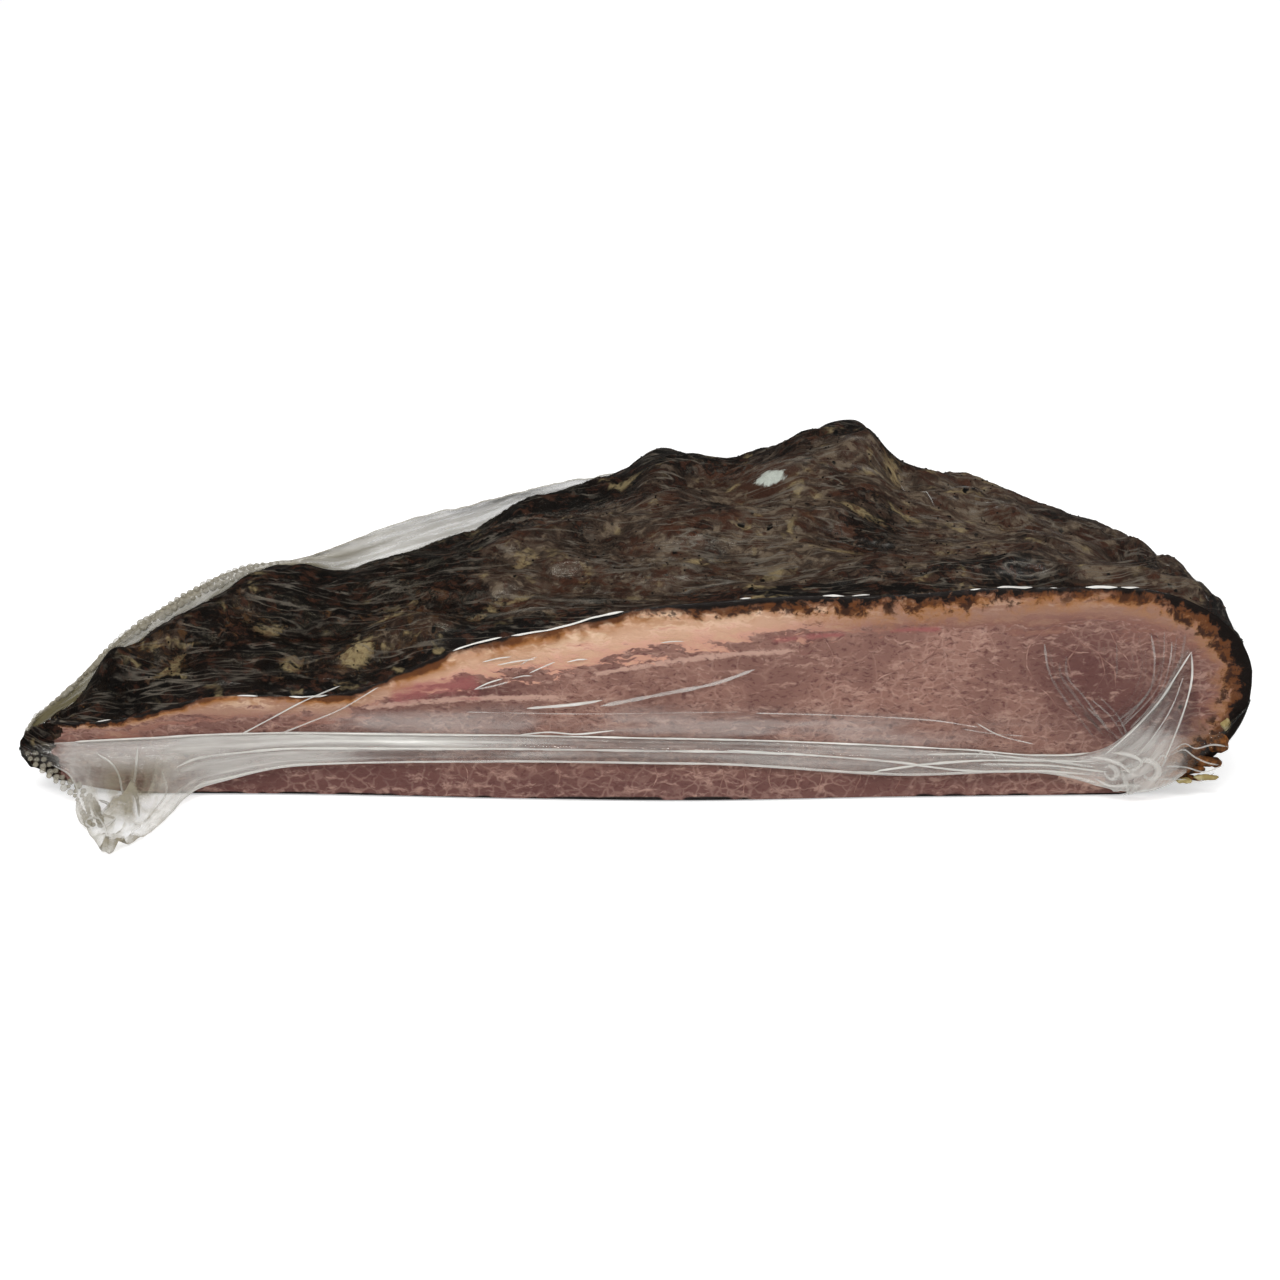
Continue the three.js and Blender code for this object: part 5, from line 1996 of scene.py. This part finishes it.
# ---- The studio ----
@dataclass(frozen=True)
class Studio:
    """A pale floor, soft lights and the camera."""

    elevation: float = 20.0
    distance: float = 0.85
    target: Place = (0.0, -0.020, 0.0395)
    focal_pixels: float = 2330.0
    image_pixels: float = 1280.0
    sensor: float = 36.0
    floor_size: float = 24.0
    floor_glow: float = 0.25
    floor_seen: float = 0.5  # how much the floor glows where the camera sees it
    room: float = 0.6
    room_mirrored: float = 0.1  # how bright the room is in reflections

    def camera(self) -> None:
        """Sets the camera up at its viewing angle."""
        data = bpy.data.cameras.new("camera")
        data.sensor_width = self.sensor
        data.lens = self.focal_pixels * self.sensor / self.image_pixels
        data.clip_start = 0.01
        camera = put_in("camera", data)
        rise = math.radians(self.elevation)
        back = Vector((0, -math.cos(rise), math.sin(rise)))
        camera.location = Vector(self.target) + self.distance * back
        camera.rotation_euler = (math.pi / 2 - rise, 0, 0)
        bpy.context.scene.camera = camera

    def floor(self) -> None:
        """Lays a plain pale floor."""
        half = self.floor_size / 2
        corners = [(-half, -half, 0), (half, -half, 0), (half, half, 0), (-half, half, 0)]
        mesh = bpy.data.meshes.new("floor")
        mesh.from_pydata(corners, [], [(0, 1, 2, 3)])
        material, graph, shader = Finish("floor").start()
        seen = graph.node("ShaderNodeLightPath").outputs["Is Camera Ray"]
        graph.fill(shader, {
            "Base Color": (0.86, 0.86, 0.86),
            "Emission Color": (1, 1, 1),
            "Emission Strength": graph.step(seen, 0, 1, (self.floor_glow, self.floor_seen)),
            "Roughness": 0.9,
            "Specular IOR Level": 0.1,
        })
        mesh.materials.append(material)
        floor = put_in("floor", mesh)
        floor.visible_glossy = False

    def lamp(self, name: str, place: Vector, size: Pair, watts: float, gleams: bool = False) -> None:
        """Hangs a soft rectangular light that looks at the brisket. Only one that gleams is mirrored."""
        data = bpy.data.lights.new(name, "AREA")
        data.shape = "RECTANGLE"
        data.size, data.size_y = size
        data.energy = watts
        lamp = put_in(name, data)
        lamp.location = place
        lamp.rotation_euler = (Vector((0, 0, 0.04)) - place).to_track_quat("-Z", "Y").to_euler()
        lamp.visible_glossy = gleams

    def build(self) -> None:
        """Sets up the camera, the floor, the lights and the surroundings."""
        self.camera()
        self.floor()
        self.lamp("key", Vector((-0.35, -1.0, 1.5)), (1.0, 0.6), 8)
        self.lamp("strip", Vector((0.0, -1.1, 1.3)), (2.2, 0.06), 7, gleams=True)
        self.lamp("fill", Vector((1.2, -0.6, 1.0)), (0.5, 0.5), 2)
        self.lamp("back", Vector((0.3, 1.3, 1.2)), (1.2, 0.4), 4)
        world = bpy.data.worlds.new("room")
        world.use_nodes = True
        graph = Graph(world.node_tree)
        background = next(n for n in world.node_tree.nodes if n.type == "BACKGROUND")
        ray = graph.node("ShaderNodeLightPath")
        lit = graph.step(ray.outputs["Is Glossy Ray"], 0, 1, (self.room, self.room_mirrored))
        shown = graph.step(ray.outputs["Is Camera Ray"], 0, 1, (lit, 1.0))
        graph.fill(background, {"Color": (1, 1, 1), "Strength": shown})
        bpy.context.scene.world = world
        bpy.context.scene.view_settings.view_transform = "Standard"


def place(piece: Object, slot: str) -> None:
    """Ties a finished piece to the model.

    Args:
        piece: The piece.
        slot: A material slot's name. It is not used.
    """
    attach(piece, BODY)
    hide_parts(CAD_NODE)
    LOG.info("%s: %d faces", piece.name, len(piece.data.polygons))


def main() -> None:
    """Builds the brisket and its bag, and sets the studio up round them."""
    logging.basicConfig(level=logging.INFO, format="%(name)s: %(message)s")
    Studio().build()
    effects = Effects(streak_group(), crease_group())
    form = BrisketForm()
    film = FilmFinish("clear_film").material(effects)
    clinging = FilmFinish("clinging_film", clear=0.02, edge_on=0.12, roughness=0.2, crinkle=0.0003)
    skin_film = clinging.material(effects)
    ridge_film = FilmFinish("ridged_film", edge_on=0.05, roughness=0.13).material(effects)
    bark = BarkFinish("smoked_bark").material(effects)
    cut = CutFinish("cut_meat").material(effects)
    char = CrumbFinish("burnt_rub").material(effects)
    scrap = CrumbFinish("burnt_fat", light=shade(150, 92, 42), amber=0.3).material(effects)
    suet = CrumbFinish("yellow_fat", shade(150, 132, 84), shade(206, 194, 150), 0.2).material(effects)
    tallow = CrumbFinish("marbling_fat", shade(138, 100, 90), shade(180, 144, 130), 0.16).material(effects)
    lumps = lump_tree()
    brisket = Brisket(form)
    meat = brisket.build(bark, cut)
    place(Crumbs(meat).build(scatter_tree(), char), "bark")
    place(meat, "bark")
    place(Scraps().build(lumps, scrap), "bark")
    place(Scraps("fat_scraps", Scraps.fat_places, Scraps.fat_sizes).build(lumps, suet), "bark")
    threads = strand_tree()
    place(Marbling(brisket).build(threads, tallow), "meat")
    place(Skin(brisket).build(skin_film), "film")
    seam = Seam(form)
    place(seam.build(film), "film")
    place(Beads(seam).build(lumps, film), "film")
    fold = Fold(form)
    place(fold.build(film), "film")
    creases = Strands(fold, brisket)
    place(creases.build(threads, film), "film")
    place(creases.build_ridges(threads, ridge_film), "film")


if __name__ == "__main__":
    main()
